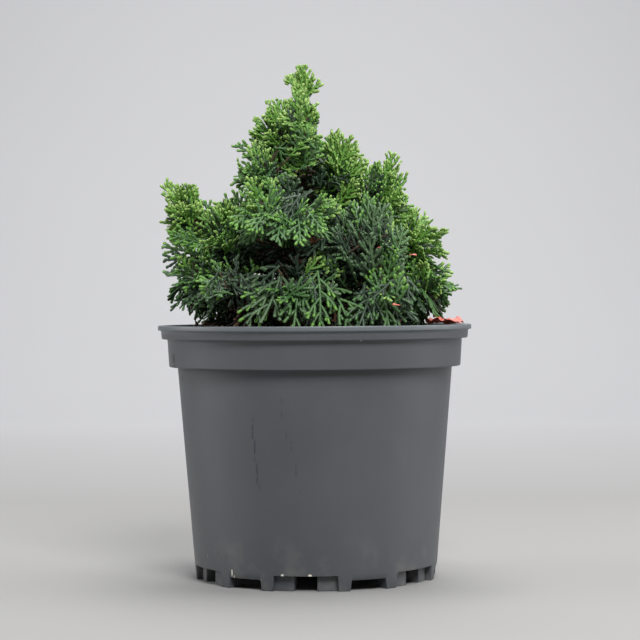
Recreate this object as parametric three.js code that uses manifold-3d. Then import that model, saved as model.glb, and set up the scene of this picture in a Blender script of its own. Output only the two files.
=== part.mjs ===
// A dwarf hinoki cypress growing in a round grey nursery pot.
//
// Millimetres, +Z up. The origin is on the pot's axis, at the plane that the pot
// stands on. -Y is the front of the plant and +X is its right side.
//
// The pot is one moulding: a tapered body, a wider collar, a band and a lip above it,
// and a skirt below its floor that is cut into feet. The growing medium fills it.
// The trunk stands on the medium and runs up through the whole crown. A bough carries
// each mass of foliage, or the trunk itself does. A mass keeps to a space of its own:
// its twigs fan out of one stem by a seeded rule, each ends in a flat toothed spray,
// and a rugged core stands for the dense growth between them.

import * as THREE from "three";
import { mergeVertices } from "three/addons/utils/BufferGeometryUtils.js";
import Module from "manifold-3d";

const wasm = await Module();
wasm.setup();

// ---------------------------------------------------------------- pot sizes

const POT_HEIGHT = 153;
const LIP_RADIUS = 95;
const LIP_DEPTH = 3;
const BAND_RADIUS = 93.2;
const BAND_DEPTH = 5.2;
const COLLAR_RADIUS = 89.3;
const COLLAR_DEPTH = 16.8;
const BODY_TOP_RADIUS = 83.2;
const BODY_FOOT_RADIUS = 72.8;
const STEP_TAPER = 1; // how much narrower the collar is at its lower edge
const WALL = 1.6;
const FLOOR = 1.8;
const POT_SEGMENTS = 32;

const FOOT_HEIGHT = 9.2;
const SKIRT_GAP = 6.2; // height of the low gaps between a pair of feet
const FOOT_SECTORS = 6;
const FIRST_ARCH = -94.8; // heading of the arch nearest the front, degrees
const ARCH_HALF = 15; // degrees, as the next two
const FOOT_WIDTH = 6;
const RECESS_WIDTH = 9.5;
const RECESS = 3.4; // how far the inner half of a foot stands back from the skirt
const FOOT_DEPTH = 10.5;
const SLOT_HALF = 4.5; // degrees
const SLOT_INNER_RADIUS = 52;

// ------------------------------------------------------------- plant sizes

const SOIL_LEVEL = 141;
const CLEAR = 0.3; // gap between neighbouring solids
const ROOM = 0.9; // from foliage to the edge of its space
const LIMB_ROOM = 1; // from a spray to a limb's surface
const SPRAY_APART = 2; // between points of two sprays
const REACH_RADIUS = LIP_RADIUS - 1; // nothing reaches past the pot's lip
const REACH_STEP = 0.03;
const SMALLEST_EDGE = 0.02;

const TRUNK_FOOT = [-1, 0, SOIL_LEVEL];
const TRUNK_BENDS = [[1, 1, 168], [-3, 2, 205], [-8, 1, 245]];
const TRUNK_TIP = [-7, 0, 284];
const TRUNK_RADIUS = 6;
const TRUNK_TIP_RADIUS = 1.1;
const FLARE = 2.6; // extra radius of the root flare
const FLARE_REACH = 0.05; // share of the trunk over which the flare dies away

const BOUGH_RADIUS = 2.4;
const BOUGH_TIP_RADIUS = 1.4;
const BOUGH_SAG = 0.16; // how far a bough hangs below a straight line, as a share

const STEM_TIP_RADIUS = 1;
const BARE_STEM = 0.4; // the share of a stem that carries no twigs
const CORE_SHARE = 0.64; // how far the dense core of a mass fills its space
const CORE_RELIEF = 0.24; // how far it is rugged, as a share of that

const SPRAY_SPACING = 700; // mm2 of a mass's surface for each spray
const FEWEST_SPRAYS = 6;
const MOST_SPRAYS = 11;
const LOWEST_RISE = -0.8; // how far down the ways of the sprays go, from 1 at the top
const SPRAY_WIDTH = 1.35; // as a share of its length
const WIDEST_SPRAY = 1.15; // as a share of its mass's mean half-size
const SPRAY_THICKNESS = 1.2;
const SPRAY_STRETCH = 1.1; // how far the teeth of a spray may pass its mass's half-size
const SPRAY_ROLL = 90; // degrees of spread in how the sprays face
const LIGHT_RISE = 0.8; // how steeply the light comes in that the sprays turn to
const SHORTENING = [1, 0.93, 0.86, 0.79]; // tried in turn where a spray leaves its space
const GOLDEN_ANGLE = Math.PI * (3 - Math.sqrt(5));

// Each mass: its centre, its half-sizes along X, Y and Z, and how high its bough
// leaves the trunk, as a share of the way from the soil to the trunk's tip. A mass
// with no bough height grows straight out of the trunk.
const MASSES = {
  crown_tip: { centre: [-7, 0, 294], half: [12, 11, 17], onTip: true },
  leader_left: { centre: [-26, -3, 269], half: [19, 20, 20], atTrunk: 0.76 },
  leader_front: { centre: [-6, -13, 271], half: [14, 17, 25], atTrunk: 0.82 },
  leader_back: { centre: [-13, 16, 268], half: [20, 18, 24], atTrunk: 0.8 },
  leader_skirt: { centre: [-31, -17, 246], half: [19, 23, 18], atTrunk: 0.6 },
  dome: { centre: [14, 8, 246], half: [18, 25, 27], bough: 0.52 },
  shoulder: { centre: [39, 1, 229], half: [19, 26, 29], bough: 0.42 },
  right_upper: { centre: [65, 1, 203], half: [18, 26, 22], bough: 0.31 },
  right_lower: { centre: [66, -7, 172], half: [21, 29, 20], bough: 0.12 },
  left_tip: { centre: [-80, -2, 224], half: [13, 18, 19], bough: 0.41 },
  left_middle: { centre: [-54, -8, 207], half: [22, 28, 21], bough: 0.3 },
  left_lower: { centre: [-69, -9, 179], half: [24, 29, 21], bough: 0.17 },
  left_front: { centre: [-47, -50, 172], half: [25, 26, 21], bough: 0.06 },
  cloud: { centre: [-16, -49, 219], half: [32, 31, 22], bough: 0.38 },
  front_low: { centre: [-10, -60, 172], half: [32, 28, 21], bough: 0.13 },
  front_right: { centre: [30, -42, 202], half: [27, 29, 28], bough: 0.26 },
  front_right_low: { centre: [40, -56, 170], half: [27, 26, 19], bough: 0.18 },
  back_upper: { centre: [-4, 36, 236], half: [29, 23, 25], bough: 0.46 },
  back_right: { centre: [43, 41, 205], half: [28, 29, 28], bough: 0.34 },
  back_left: { centre: [-43, 36, 211], half: [30, 30, 27], bough: 0.34 },
  back_centre: { centre: [-1, 62, 203], half: [28, 24, 26], bough: 0.24 },
  back_low_right: { centre: [56, 40, 171], half: [28, 28, 20], bough: 0.15 },
  back_low_left: { centre: [-55, 39, 171], half: [28, 28, 21], bough: 0.1 },
  back_low: { centre: [1, 61, 171], half: [32, 26, 20], bough: 0.08 },
};

// ----------------------------------------------------------------- colours

const MATERIALS = {
  pot: new THREE.MeshStandardMaterial({ color: 0x565a5f, roughness: 0.5 }),
  soil: new THREE.MeshStandardMaterial({ color: 0x2b211a, roughness: 1 }),
  bark: new THREE.MeshStandardMaterial({ color: 0x5a3a2a, roughness: 0.9 }),
  foliage: new THREE.MeshStandardMaterial({ color: 0x46762a, roughness: 0.6 }),
};

// ------------------------------------------------------- solids and meshes

const vector = (xyz) => new THREE.Vector3(...xyz);
const radians = THREE.MathUtils.degToRad;

/** A closed geometry as a solid, with collapsed faces left out and faces turned out. */
function solidOf(geometry) {
  const bare = new THREE.BufferGeometry();
  bare.setAttribute("position", geometry.getAttribute("position"));
  bare.setIndex(geometry.index);
  const merged = mergeVertices(bare, 1e-4);
  const corners = [];
  for (let i = 0; i < merged.index.count; i += 3) {
    const [a, b, c] = [0, 1, 2].map((k) => merged.index.getX(i + k));
    if (a !== b && b !== c && a !== c) corners.push([a, b, c]);
  }
  const make = (faces) => new wasm.Manifold(new wasm.Mesh({
    numProp: 3,
    vertProperties: merged.attributes.position.array,
    triVerts: new Uint32Array(faces.flat()),
  }));
  const made = make(corners);
  return made.volume() > 0 ? made : make(corners.map(([a, b, c]) => [a, c, b]));
}

/** The largest closed body of a solid: sealed hollows are filled, scraps are dropped. */
function mainBody(solid) {
  const bodies = solid.decompose();
  return bodies.reduce((best, body) => (body.volume() > best.volume() ? body : best));
}

/** A solid as a named mesh. */
function meshOf(name, solid, material) {
  const made = solid.getMesh();
  const geometry = new THREE.BufferGeometry();
  const place = new Float32Array(made.numVert * 3);
  for (let i = 0; i < made.numVert; i++) {
    const from = i * made.numProp;
    place.set(made.vertProperties.subarray(from, from + 3), i * 3);
  }
  geometry.setAttribute("position", new THREE.BufferAttribute(place, 3));
  geometry.setIndex(new THREE.BufferAttribute(new Uint32Array(made.triVerts), 1));
  const mesh = new THREE.Mesh(geometry, material);
  mesh.name = name;
  return mesh;
}

/** A profile of [radius, height] points turned round the Z axis. */
function turned(profile, segments) {
  const points = profile.map(([radius, height]) => new THREE.Vector2(radius, height));
  return solidOf(new THREE.LatheGeometry(points, segments).rotateX(Math.PI / 2));
}

/** A sector of a ring: arcs is a list of [radius, from, to] in degrees, in one loop. */
function sector(arcs, low, high) {
  const shape = new THREE.Shape();
  for (const [radius, from, to] of arcs) {
    shape.absarc(0, 0, radius, radians(from), radians(to), to < from);
  }
  const options = { depth: high - low, bevelEnabled: false, curveSegments: 2 };
  return solidOf(new THREE.ExtrudeGeometry(shape, options).translate(0, 0, low));
}

/** A tapering round limb along a curve. */
function limb(curve, radiusAt, sides, steps) {
  const tube = new THREE.CylinderGeometry(1, 1, 1, sides, steps);
  const { normals, binormals } = curve.computeFrenetFrames(steps);
  const place = tube.attributes.position;
  for (let i = 0; i < place.count; i++) {
    const t = place.getY(i) + 0.5;
    const step = Math.round(t * steps);
    const point = curve
      .getPointAt(t)
      .addScaledVector(normals[step], radiusAt(t) * place.getX(i))
      .addScaledVector(binormals[step], radiusAt(t) * place.getZ(i));
    place.setXYZ(i, point.x, point.y, point.z);
  }
  return solidOf(tube);
}

// --------------------------------------------------------------------- pot

const COLLAR_FOOT = POT_HEIGHT - LIP_DEPTH - BAND_DEPTH - COLLAR_DEPTH;
const BAND_FOOT = COLLAR_FOOT + COLLAR_DEPTH;
const FLOOR_TOP = FOOT_HEIGHT + FLOOR;

/** Outer radius of the tapered body at a height. */
function bodyRadius(height) {
  const share = height / COLLAR_FOOT;
  return BODY_FOOT_RADIUS + (BODY_TOP_RADIUS - BODY_FOOT_RADIUS) * share;
}

/** The wall, floor, collar, band and lip as one turned shell. */
function potShell() {
  const outside = [
    [0, FOOT_HEIGHT],
    [bodyRadius(FOOT_HEIGHT) - WALL, FOOT_HEIGHT],
    [BODY_FOOT_RADIUS - WALL, 0],
    [BODY_FOOT_RADIUS, 0],
    [BODY_TOP_RADIUS, COLLAR_FOOT],
    [COLLAR_RADIUS - STEP_TAPER, COLLAR_FOOT],
    [COLLAR_RADIUS, BAND_FOOT],
    [BAND_RADIUS - STEP_TAPER / 2, BAND_FOOT],
    [BAND_RADIUS, POT_HEIGHT - LIP_DEPTH],
    [LIP_RADIUS, POT_HEIGHT - LIP_DEPTH],
    [LIP_RADIUS, POT_HEIGHT],
  ];
  const inside = [
    [BAND_RADIUS - WALL, POT_HEIGHT],
    [BAND_RADIUS - WALL, BAND_FOOT + WALL],
    [COLLAR_RADIUS - WALL, BAND_FOOT + WALL],
    [COLLAR_RADIUS - STEP_TAPER - WALL, COLLAR_FOOT + WALL],
    [BODY_TOP_RADIUS - WALL, COLLAR_FOOT + WALL],
    [bodyRadius(FLOOR_TOP) - WALL, FLOOR_TOP],
    [0, FLOOR_TOP],
  ];
  return turned([...outside, ...inside], POT_SEGMENTS);
}

/** The open arches, the low gaps and the drain slots that are cut from the shell. */
function potCuts(heading) {
  const outer = BODY_TOP_RADIUS;
  const inner = BODY_FOOT_RADIUS - FOOT_DEPTH;
  const ring = (from, to, low, high, near = inner, far = outer) =>
    sector([[far, from, to], [near, to, from]], low, high);
  const gapFrom = heading + ARCH_HALF + FOOT_WIDTH;
  const gapTo = heading + 360 / FOOT_SECTORS - ARCH_HALF - FOOT_WIDTH;
  const slotRadius = BODY_FOOT_RADIUS - RECESS - WALL;
  return [
    ring(heading - ARCH_HALF, heading + ARCH_HALF, -1, FOOT_HEIGHT),
    ring(gapFrom, gapTo, -1, SKIRT_GAP),
    ring(heading - SLOT_HALF, heading + SLOT_HALF, FOOT_HEIGHT - 1, FLOOR_TOP + 1,
      SLOT_INNER_RADIUS, slotRadius),
  ];
}

/** One foot: a block behind the skirt, with a set-back half that enters the arch. */
function foot(heading, side) {
  const at = (angle) => heading + side * angle;
  const front = BODY_FOOT_RADIUS - WALL / 2;
  const back = BODY_FOOT_RADIUS - FOOT_DEPTH;
  const arcs = [
    [front, at(ARCH_HALF), at(ARCH_HALF + FOOT_WIDTH)],
    [back, at(ARCH_HALF + FOOT_WIDTH), at(ARCH_HALF - RECESS_WIDTH)],
    [BODY_FOOT_RADIUS - RECESS, at(ARCH_HALF - RECESS_WIDTH), at(ARCH_HALF)],
  ];
  return sector(arcs, 0, FOOT_HEIGHT + FLOOR / 2);
}

function pot() {
  const headings = Array.from(
    { length: FOOT_SECTORS },
    (_, k) => FIRST_ARCH + (k * 360) / FOOT_SECTORS,
  );
  const cuts = wasm.Manifold.union(headings.flatMap(potCuts));
  const feet = headings.flatMap((heading) => [foot(heading, 1), foot(heading, -1)]);
  return wasm.Manifold.union([potShell().subtract(cuts), ...feet]);
}

/** The growing medium, which fills the pot to a little below its lip. */
function growingMedium() {
  const edge = CLEAR + WALL;
  const ledge = COLLAR_FOOT + WALL + CLEAR;
  const profile = [
    [0, FLOOR_TOP + CLEAR],
    [bodyRadius(FLOOR_TOP) - edge, FLOOR_TOP + CLEAR],
    [BODY_TOP_RADIUS - edge, ledge],
    [COLLAR_RADIUS - STEP_TAPER - edge, ledge],
    [COLLAR_RADIUS - STEP_TAPER - edge, SOIL_LEVEL],
    [0, SOIL_LEVEL],
  ];
  return turned(profile, POT_SEGMENTS);
}

// ---------------------------------------------------------- trunk and boughs

const trunkCurve = new THREE.CatmullRomCurve3(
  [TRUNK_FOOT, ...TRUNK_BENDS, TRUNK_TIP].map(vector),
);

function trunkRadius(t) {
  const taper = TRUNK_RADIUS + (TRUNK_TIP_RADIUS - TRUNK_RADIUS) * t ** 0.8;
  return taper + FLARE * Math.exp(-t / FLARE_REACH);
}

/** The trunk with some extra radius, from a flat cut at the soil to its tip. */
function trunk(extra) {
  const whole = limb(trunkCurve, (t) => trunkRadius(t) + extra, 7, 10);
  const size = 4 * TRUNK_RADIUS;
  const below = new THREE.BoxGeometry(size, size, size);
  below.translate(TRUNK_FOOT[0], TRUNK_FOOT[1], SOIL_LEVEL + CLEAR - size / 2);
  return whole.subtract(solidOf(below));
}

/** A curve from start to end that leaves level and turns up towards its end. */
function sagging(start, end, sag) {
  const middle = start.clone().lerp(end, 0.5);
  middle.z -= sag * start.distanceTo(end);
  return new THREE.QuadraticBezierCurve3(start, middle, end);
}

/** The bough of a mass, up to where it enters its core, or null for none. */
function boughCurve(mass) {
  if (mass.bough === undefined) return null;
  const start = trunkCurve.getPointAt(mass.bough);
  const back = start.clone().sub(vector(mass.centre));
  const way = back.clone().divide(vector(mass.half)).normalize();
  const entry = vector(mass.half).multiply(way).multiplyScalar(reachAlong(mass, way) * CORE_SHARE);
  return sagging(start, entry.add(vector(mass.centre)), BOUGH_SAG);
}

function boughRadius(t) {
  return BOUGH_RADIUS + (BOUGH_TIP_RADIUS - BOUGH_RADIUS) * t;
}

/** The stem of a mass: from just clear of its bough's tip or the trunk to its centre. */
function stemCurve(mass, bough) {
  const carrier = mass.onTip ? trunkCurve : bough;
  const centre = vector(mass.centre);
  if (!carrier) return new THREE.LineCurve3(trunkCurve.getPointAt(mass.atTrunk), centre);
  const way = carrier.getTangentAt(1);
  const start = carrier.getPointAt(1).addScaledVector(way, CLEAR);
  const bend = start.clone().addScaledVector(way, start.distanceTo(centre) / 2);
  return new THREE.QuadraticBezierCurve3(start, bend, centre);
}

// ------------------------------------------------------------------ foliage

/** A repeatable stream of numbers from 0 to 1. */
function seededRandom(seed) {
  let state = seed;
  return () => {
    state = (state * 1664525 + 1013904223) % 4294967296;
    return state / 4294967296;
  };
}

/** How far a point is on its own side of the plane between two masses. */
function cellMargin(point, own, other) {
  const [a, b] = [vector(own.centre), vector(other.centre)];
  const size = (mass) => (mass.half[0] * mass.half[1] * mass.half[2]) ** (2 / 3);
  const power = point.distanceToSquared(b) - size(other);
  return (power - point.distanceToSquared(a) + size(own)) / (2 * a.distanceTo(b));
}

/** Whether a point is in the space of a mass, clear of its neighbours and the pot. */
function inSpace(point, mass, stretch) {
  const share = point.clone().sub(vector(mass.centre)).divide(vector(mass.half)).length();
  const radius = Math.hypot(point.x, point.y);
  if (share > stretch || radius > REACH_RADIUS || point.z < SOIL_LEVEL + ROOM) return false;
  const inPot = COLLAR_RADIUS - STEP_TAPER - WALL - ROOM;
  if (radius > inPot && point.z < POT_HEIGHT + ROOM) return false;
  return Object.values(MASSES).every(
    (other) => other === mass || cellMargin(point, mass, other) > ROOM,
  );
}

/** A point of a mass, from a way out of its centre and a share of its half-size. */
function massPoint(mass, way, share) {
  return vector(mass.half).multiply(way).multiplyScalar(share).add(vector(mass.centre));
}

/** How far the space of a mass reaches along a way, as a share of its half-size. */
function reachAlong(mass, way) {
  let share = 1;
  while (share > REACH_STEP && !inSpace(massPoint(mass, way, share), mass, 1 + REACH_STEP)) {
    share -= REACH_STEP;
  }
  return share;
}

/** The dense heart of a mass, rugged and in the shape of its space. */
function coreSolid(mass, random) {
  const bare = new THREE.BufferGeometry();
  bare.setAttribute("position", new THREE.IcosahedronGeometry(1, 1).getAttribute("position"));
  const ball = mergeVertices(bare);
  const place = ball.getAttribute("position");
  for (let i = 0; i < place.count; i++) {
    const way = new THREE.Vector3().fromBufferAttribute(place, i);
    const share = CORE_SHARE * (1 + CORE_RELIEF * (2 * random() - 1));
    const point = massPoint(mass, way, reachAlong(mass, way) * share);
    place.setXYZ(i, point.x, point.y, point.z);
  }
  return solidOf(ball);
}

/** Points along a limb, each with the limb's radius there. */
function limbPoints(curve, radiusAt) {
  const count = Math.ceil(curve.getLength() / 1.5);
  return Array.from({ length: count + 1 }, (_, k) => {
    const t = k / count;
    return { at: curve.getPointAt(t), radius: radiusAt(t) };
  });
}

/** The outline of a spray: a stalk, a tooth on each side and a tip, as shares. */
function sprayOutline() {
  const side = [[0.07, 0], [0.07, 0.36], [0.5, 0.74], [0.22, 0.72]];
  const mirrored = side.map(([across, along]) => [-across, along]).reverse();
  return [...side, [0, 1], ...mirrored];
}

/** A point of a spray, from shares of its width and length. */
function onSpray(spray, across, along) {
  return spray.foot
    .clone()
    .addScaledVector(spray.across, across * spray.width)
    .addScaledVector(spray.along, along * spray.length);
}

/** Points over the part of a spray that stands out of the core. */
function sprayPoints(spray) {
  const points = [];
  for (const along of [0.7, 0.8, 0.9, 1]) {
    for (const across of [-0.45, -0.3, -0.15, 0, 0.15, 0.3, 0.45]) {
      points.push(onSpray(spray, across, along));
    }
  }
  return points;
}

/** Whether a spray keeps to the space of its mass, off the limbs and other sprays. */
function sprayFits(spray, mass, limbs, placed) {
  const rim = sprayOutline().map(([across, along]) => onSpray(spray, across, along));
  if (!rim.every((point) => inSpace(point, mass, SPRAY_STRETCH))) return false;
  return sprayPoints(spray).every((point) =>
    limbs.every(({ at, radius }) => point.distanceTo(at) > radius + LIMB_ROOM)
    && placed.every((other) => point.distanceTo(other) > SPRAY_APART));
}

/** A spray as a flat toothed blade. */
function sprayBlade(spray) {
  const shape = new THREE.Shape(sprayOutline().map(
    ([across, along]) => new THREE.Vector2(across * spray.width, along * spray.length),
  ));
  const options = { depth: SPRAY_THICKNESS, bevelEnabled: false };
  const blade = new THREE.ExtrudeGeometry(shape, options);
  blade.translate(0, 0, -SPRAY_THICKNESS / 2);
  const turn = new THREE.Matrix4().makeBasis(spray.across, spray.along, spray.face);
  return solidOf(blade.applyMatrix4(turn.setPosition(spray.foot)));
}

/** How many sprays a mass has, from the surface of its space (Thomsen's formula). */
function sprayCount([a, b, c]) {
  const mean = ((a * b) ** 1.6 + (a * c) ** 1.6 + (b * c) ** 1.6) / 3;
  const surface = 4 * Math.PI * mean ** (1 / 1.6);
  const count = Math.round(surface / SPRAY_SPACING);
  return THREE.MathUtils.clamp(count, FEWEST_SPRAYS, MOST_SPRAYS);
}

/** A spray from its foot on the stem out along a way, its face turned to the light. */
function sprayAt(mass, foot, way, share, roll) {
  const tip = massPoint(mass, way, reachAlong(mass, way) * share);
  const along = tip.clone().sub(foot).normalize();
  const light = new THREE.Vector3(tip.x, tip.y, 0).normalize().setZ(LIGHT_RISE);
  const face = light.addScaledVector(along, -light.dot(along)).normalize();
  face.applyAxisAngle(along, roll);
  const length = tip.distanceTo(foot);
  const mean = (mass.half[0] + mass.half[1] + mass.half[2]) / 3;
  const width = Math.min(WIDEST_SPRAY * mean, SPRAY_WIDTH * length);
  return { foot, along, face, across: along.clone().cross(face), length, width };
}

/** The ways in which the sprays of a mass reach, from its top down by the golden angle. */
function sprayWays({ centre, half }) {
  const count = sprayCount(half);
  const level = Math.round((count - 1) / (1 - LOWEST_RISE));
  const outward = Math.atan2(centre[1], centre[0]);
  return Array.from({ length: count }, (_, k) => {
    const rise = 1 - ((1 - LOWEST_RISE) * k) / (count - 1);
    const angle = outward + (k - level) * GOLDEN_ANGLE;
    const flat = Math.sqrt(1 - rise * rise);
    return new THREE.Vector3(flat * Math.cos(angle), flat * Math.sin(angle), rise);
  });
}

/** The sprays of a mass: each is the longest that fits, and left out where none does. */
function growSprays(mass, stem, random, limbs) {
  const sprays = [];
  const placed = [];
  for (const way of sprayWays(mass)) {
    const foot = stem.getPointAt(BARE_STEM + (1 - BARE_STEM) * random());
    const roll = radians(SPRAY_ROLL * (random() - 0.5));
    const spray = SHORTENING
      .map((share) => sprayAt(mass, foot, way, share, roll))
      .find((tried) => sprayFits(tried, mass, limbs, placed));
    if (!spray) continue;
    sprays.push(spray);
    placed.push(...sprayPoints(spray));
  }
  return sprays;
}

/** A mass of foliage: its stem, core and sprays fused into one body, off the limbs. */
function foliage(core, stem, sprays, limbSolids) {
  const taper = (t) => BOUGH_TIP_RADIUS + (STEM_TIP_RADIUS - BOUGH_TIP_RADIUS) * t;
  const pieces = [core, limb(stem, taper, 5, 2), ...sprays.map(sprayBlade)];
  const whole = wasm.Manifold.union(pieces);
  return mainBody(whole.subtract(limbSolids).simplify(SMALLEST_EDGE));
}

// ------------------------------------------------------------------ the part

const plant = new THREE.Group();
plant.add(meshOf("pot", pot(), MATERIALS.pot));
plant.add(meshOf("growing_medium", growingMedium(), MATERIALS.soil));
plant.add(meshOf("trunk", trunk(0), MATERIALS.bark));

const clearOfTrunk = trunk(CLEAR);
const limbs = limbPoints(trunkCurve, trunkRadius);
const limbSolids = [clearOfTrunk];
const boughs = {};
for (const [name, mass] of Object.entries(MASSES)) {
  boughs[name] = boughCurve(mass);
  if (!boughs[name]) continue;
  const solid = (extra) => limb(boughs[name], (t) => boughRadius(t) + extra, 5, 3);
  plant.add(meshOf(`bough_${name}`, mainBody(solid(0).subtract(clearOfTrunk)), MATERIALS.bark));
  limbs.push(...limbPoints(boughs[name], boughRadius));
  limbSolids.push(solid(CLEAR));
}

const allLimbs = wasm.Manifold.union(limbSolids);
Object.entries(MASSES).forEach(([name, mass], seed) => {
  const stem = stemCurve(mass, boughs[name]);
  const random = seededRandom(seed + 1);
  const sprays = growSprays(mass, stem, random, limbs);
  const solid = foliage(coreSolid(mass, random), stem, sprays, allLimbs);
  plant.add(meshOf(`foliage_${name}`, solid, MATERIALS.foliage));
});

export default plant;
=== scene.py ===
# %% [markdown]
# # A dwarf hinoki cypress in a nursery pot
#
# The real object is a small, slow conifer that fills a round grey nursery pot. Its crown
# is made of many flat, fern-like fans, and each fan is made of blunt green shoots that are
# covered in tiny scales. A fixed frame of plain solids gives every size. This lesson puts
# the real shapes and finishes around that frame: the moulded pot, the compost, the
# bark, and the crown down to its single shoots.
#
# We load the frame first.

import math

import bmesh
import bpy
import numpy as np
from mathutils import Matrix, Vector, noise


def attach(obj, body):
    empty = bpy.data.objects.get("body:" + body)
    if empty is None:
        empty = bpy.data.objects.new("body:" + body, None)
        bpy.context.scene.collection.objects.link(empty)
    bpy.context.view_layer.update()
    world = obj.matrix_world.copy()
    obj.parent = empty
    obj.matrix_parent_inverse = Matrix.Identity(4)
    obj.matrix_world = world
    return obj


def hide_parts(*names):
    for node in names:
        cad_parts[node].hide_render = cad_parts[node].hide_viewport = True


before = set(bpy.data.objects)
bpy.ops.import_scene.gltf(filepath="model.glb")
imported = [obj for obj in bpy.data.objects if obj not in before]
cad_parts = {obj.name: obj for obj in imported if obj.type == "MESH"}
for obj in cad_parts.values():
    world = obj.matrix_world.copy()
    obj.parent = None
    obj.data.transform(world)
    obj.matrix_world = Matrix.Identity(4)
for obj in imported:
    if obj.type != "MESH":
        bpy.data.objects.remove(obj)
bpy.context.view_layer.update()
MM = 0.001
print("nodes in the frame:", len(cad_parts))

# %% [markdown]
# ## Turning numbers into a mesh
#
# A crown has far too many faces for Blender's editing tools to add one by one. A mesh can
# also be filled straight from arrays of numbers, which takes well under a second for a
# hundred thousand faces. All sizes in this lesson are in millimetres, as a gardener or a
# mould maker would write them, so the last step scales them to Blender's metres.

# %% A mesh from arrays
def fill_mesh(name, points, quads=(), triangles=(), smooth=True):
    """A mesh from points in millimetres, four-sided faces and three-sided faces."""
    quads = np.asarray(quads, np.int32).reshape(-1, 4)
    triangles = np.asarray(triangles, np.int32).reshape(-1, 3)
    corners = np.concatenate([quads.ravel(), triangles.ravel()])
    sizes = np.concatenate([np.full(len(quads), 4), np.full(len(triangles), 3)])
    mesh = bpy.data.meshes.new(name)
    mesh.vertices.add(len(points))
    mesh.vertices.foreach_set("co", (np.asarray(points) * MM).astype(np.float32).ravel())
    mesh.loops.add(len(corners))
    mesh.loops.foreach_set("vertex_index", corners)
    mesh.polygons.add(len(sizes))
    starts = np.concatenate([[0], np.cumsum(sizes)[:-1]]).astype(np.int32)
    mesh.polygons.foreach_set("loop_start", starts)
    mesh.polygons.foreach_set("use_smooth", np.full(len(sizes), smooth))
    mesh.update(calc_edges=True)
    mesh.validate()
    return mesh


def count_triangles(mesh):
    return len(mesh.loops) - 2 * len(mesh.polygons)


def add_piece(name, mesh, material, nodes=()):
    """Puts a mesh in the scene as a piece of the object, which stands for some nodes."""
    piece = bpy.data.objects.new(name, mesh)
    bpy.context.scene.collection.objects.link(piece)
    mesh.materials.clear()
    mesh.materials.append(material)
    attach(piece, "root")
    if nodes:
        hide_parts(*nodes)
    print(f"{name}: {count_triangles(mesh)} triangles")
    return piece


# %% [markdown]
# ## A small kit for finishes
#
# No real surface has one even colour. Every finish here starts from Blender's Principled
# shader and gets its life from noise that is worked out from the place on the object, so
# it needs no picture. Colours are typed as they look on a screen, from 0 to 255, and are
# turned into the linear values that the shader wants.

# %% Screen colours
def screen_colour(red, green, blue):
    """The linear colour of a screen colour."""
    linear = [
        c / 12.92 if c <= 0.04045 else ((c + 0.055) / 1.055) ** 2.4
        for c in (red / 255, green / 255, blue / 255)
    ]
    return (*linear, 1.0)


print("a middle grey in linear values:", round(screen_colour(128, 128, 128)[0], 3))

# %% [markdown]
# A short helper adds and joins nodes, which keeps each finish readable as a list of steps:
# noise, a ramp that picks out a part of it, and colours that are mixed by what comes out.

# %% Helpers for finishes
class Finish:
    """A material that is built step by step around one Principled shader."""

    def __init__(self, name, roughness):
        self.material = bpy.data.materials.new(name)
        self.material.use_nodes = True
        self.tree = self.material.node_tree
        self.shader = self.tree.nodes["Principled BSDF"]
        self.shader.inputs["Roughness"].default_value = roughness
        self.place = self.node("ShaderNodeTexCoord").outputs["Object"]

    def node(self, kind, inputs=(), **settings):
        """A node with some settings, and inputs that are values or other nodes' outputs."""
        made = self.tree.nodes.new(kind)
        for key, value in settings.items():
            setattr(made, key, value)
        for key, value in dict(inputs).items():
            if isinstance(value, bpy.types.NodeSocket):
                self.tree.links.new(value, made.inputs[key])
            else:
                made.inputs[key].default_value = value
        return made

    def stretched(self, x, y, z):
        """The place on the object with each direction scaled."""
        inputs = {"Vector": self.place, "Scale": (x, y, z)}
        return self.node("ShaderNodeMapping", inputs).outputs["Vector"]

    def noise(self, scale, detail=4.0, place=None, rough=0.55):
        inputs = {"Vector": place or self.place, "Scale": scale, "Detail": detail, "Roughness": rough}
        return self.node("ShaderNodeTexNoise", inputs).outputs["Fac"]

    def ramp(self, value, low, high):
        """Stretches the part of a value between low and high to the whole of 0 to 1."""
        inputs = {"Value": value, "From Min": low, "From Max": high}
        return self.node("ShaderNodeMapRange", inputs).outputs["Result"]

    def calc(self, kind, a, b=0.0):
        return self.node("ShaderNodeMath", {0: a, 1: b}, operation=kind).outputs["Value"]

    def times(self, a, b):
        return self.calc("MULTIPLY", a, b)

    def vector(self, kind, a, b):
        return self.node("ShaderNodeVectorMath", {0: a, 1: b}, operation=kind).outputs["Vector"]

    def mix(self, share, a, b):
        """A colour between a and b."""
        inputs = {"Factor": share, "A": a, "B": b}
        made = self.tree.nodes.new("ShaderNodeMix")
        made.data_type = "RGBA"
        for socket in made.inputs:
            if socket.name in inputs and socket.enabled:
                value = inputs[socket.name]
                if isinstance(value, bpy.types.NodeSocket):
                    self.tree.links.new(value, socket)
                else:
                    socket.default_value = value
        return next(s for s in made.outputs if s.enabled)

    def tint(self, base, share, *colour):
        """A base colour with a share of a screen colour over it."""
        return self.mix(share, base, screen_colour(*colour))

    def colour(self, output):
        self.tree.links.new(output, self.shader.inputs["Base Color"])

    def roughness(self, output):
        self.tree.links.new(output, self.shader.inputs["Roughness"])

    def relief(self, height, depth, strength=1.0):
        """Fine relief of a depth in millimetres, as light sees it."""
        inputs = {"Height": height, "Distance": depth * MM, "Strength": strength}
        bump = self.node("ShaderNodeBump", inputs).outputs["Normal"]
        self.tree.links.new(bump, self.shader.inputs["Normal"])
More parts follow.
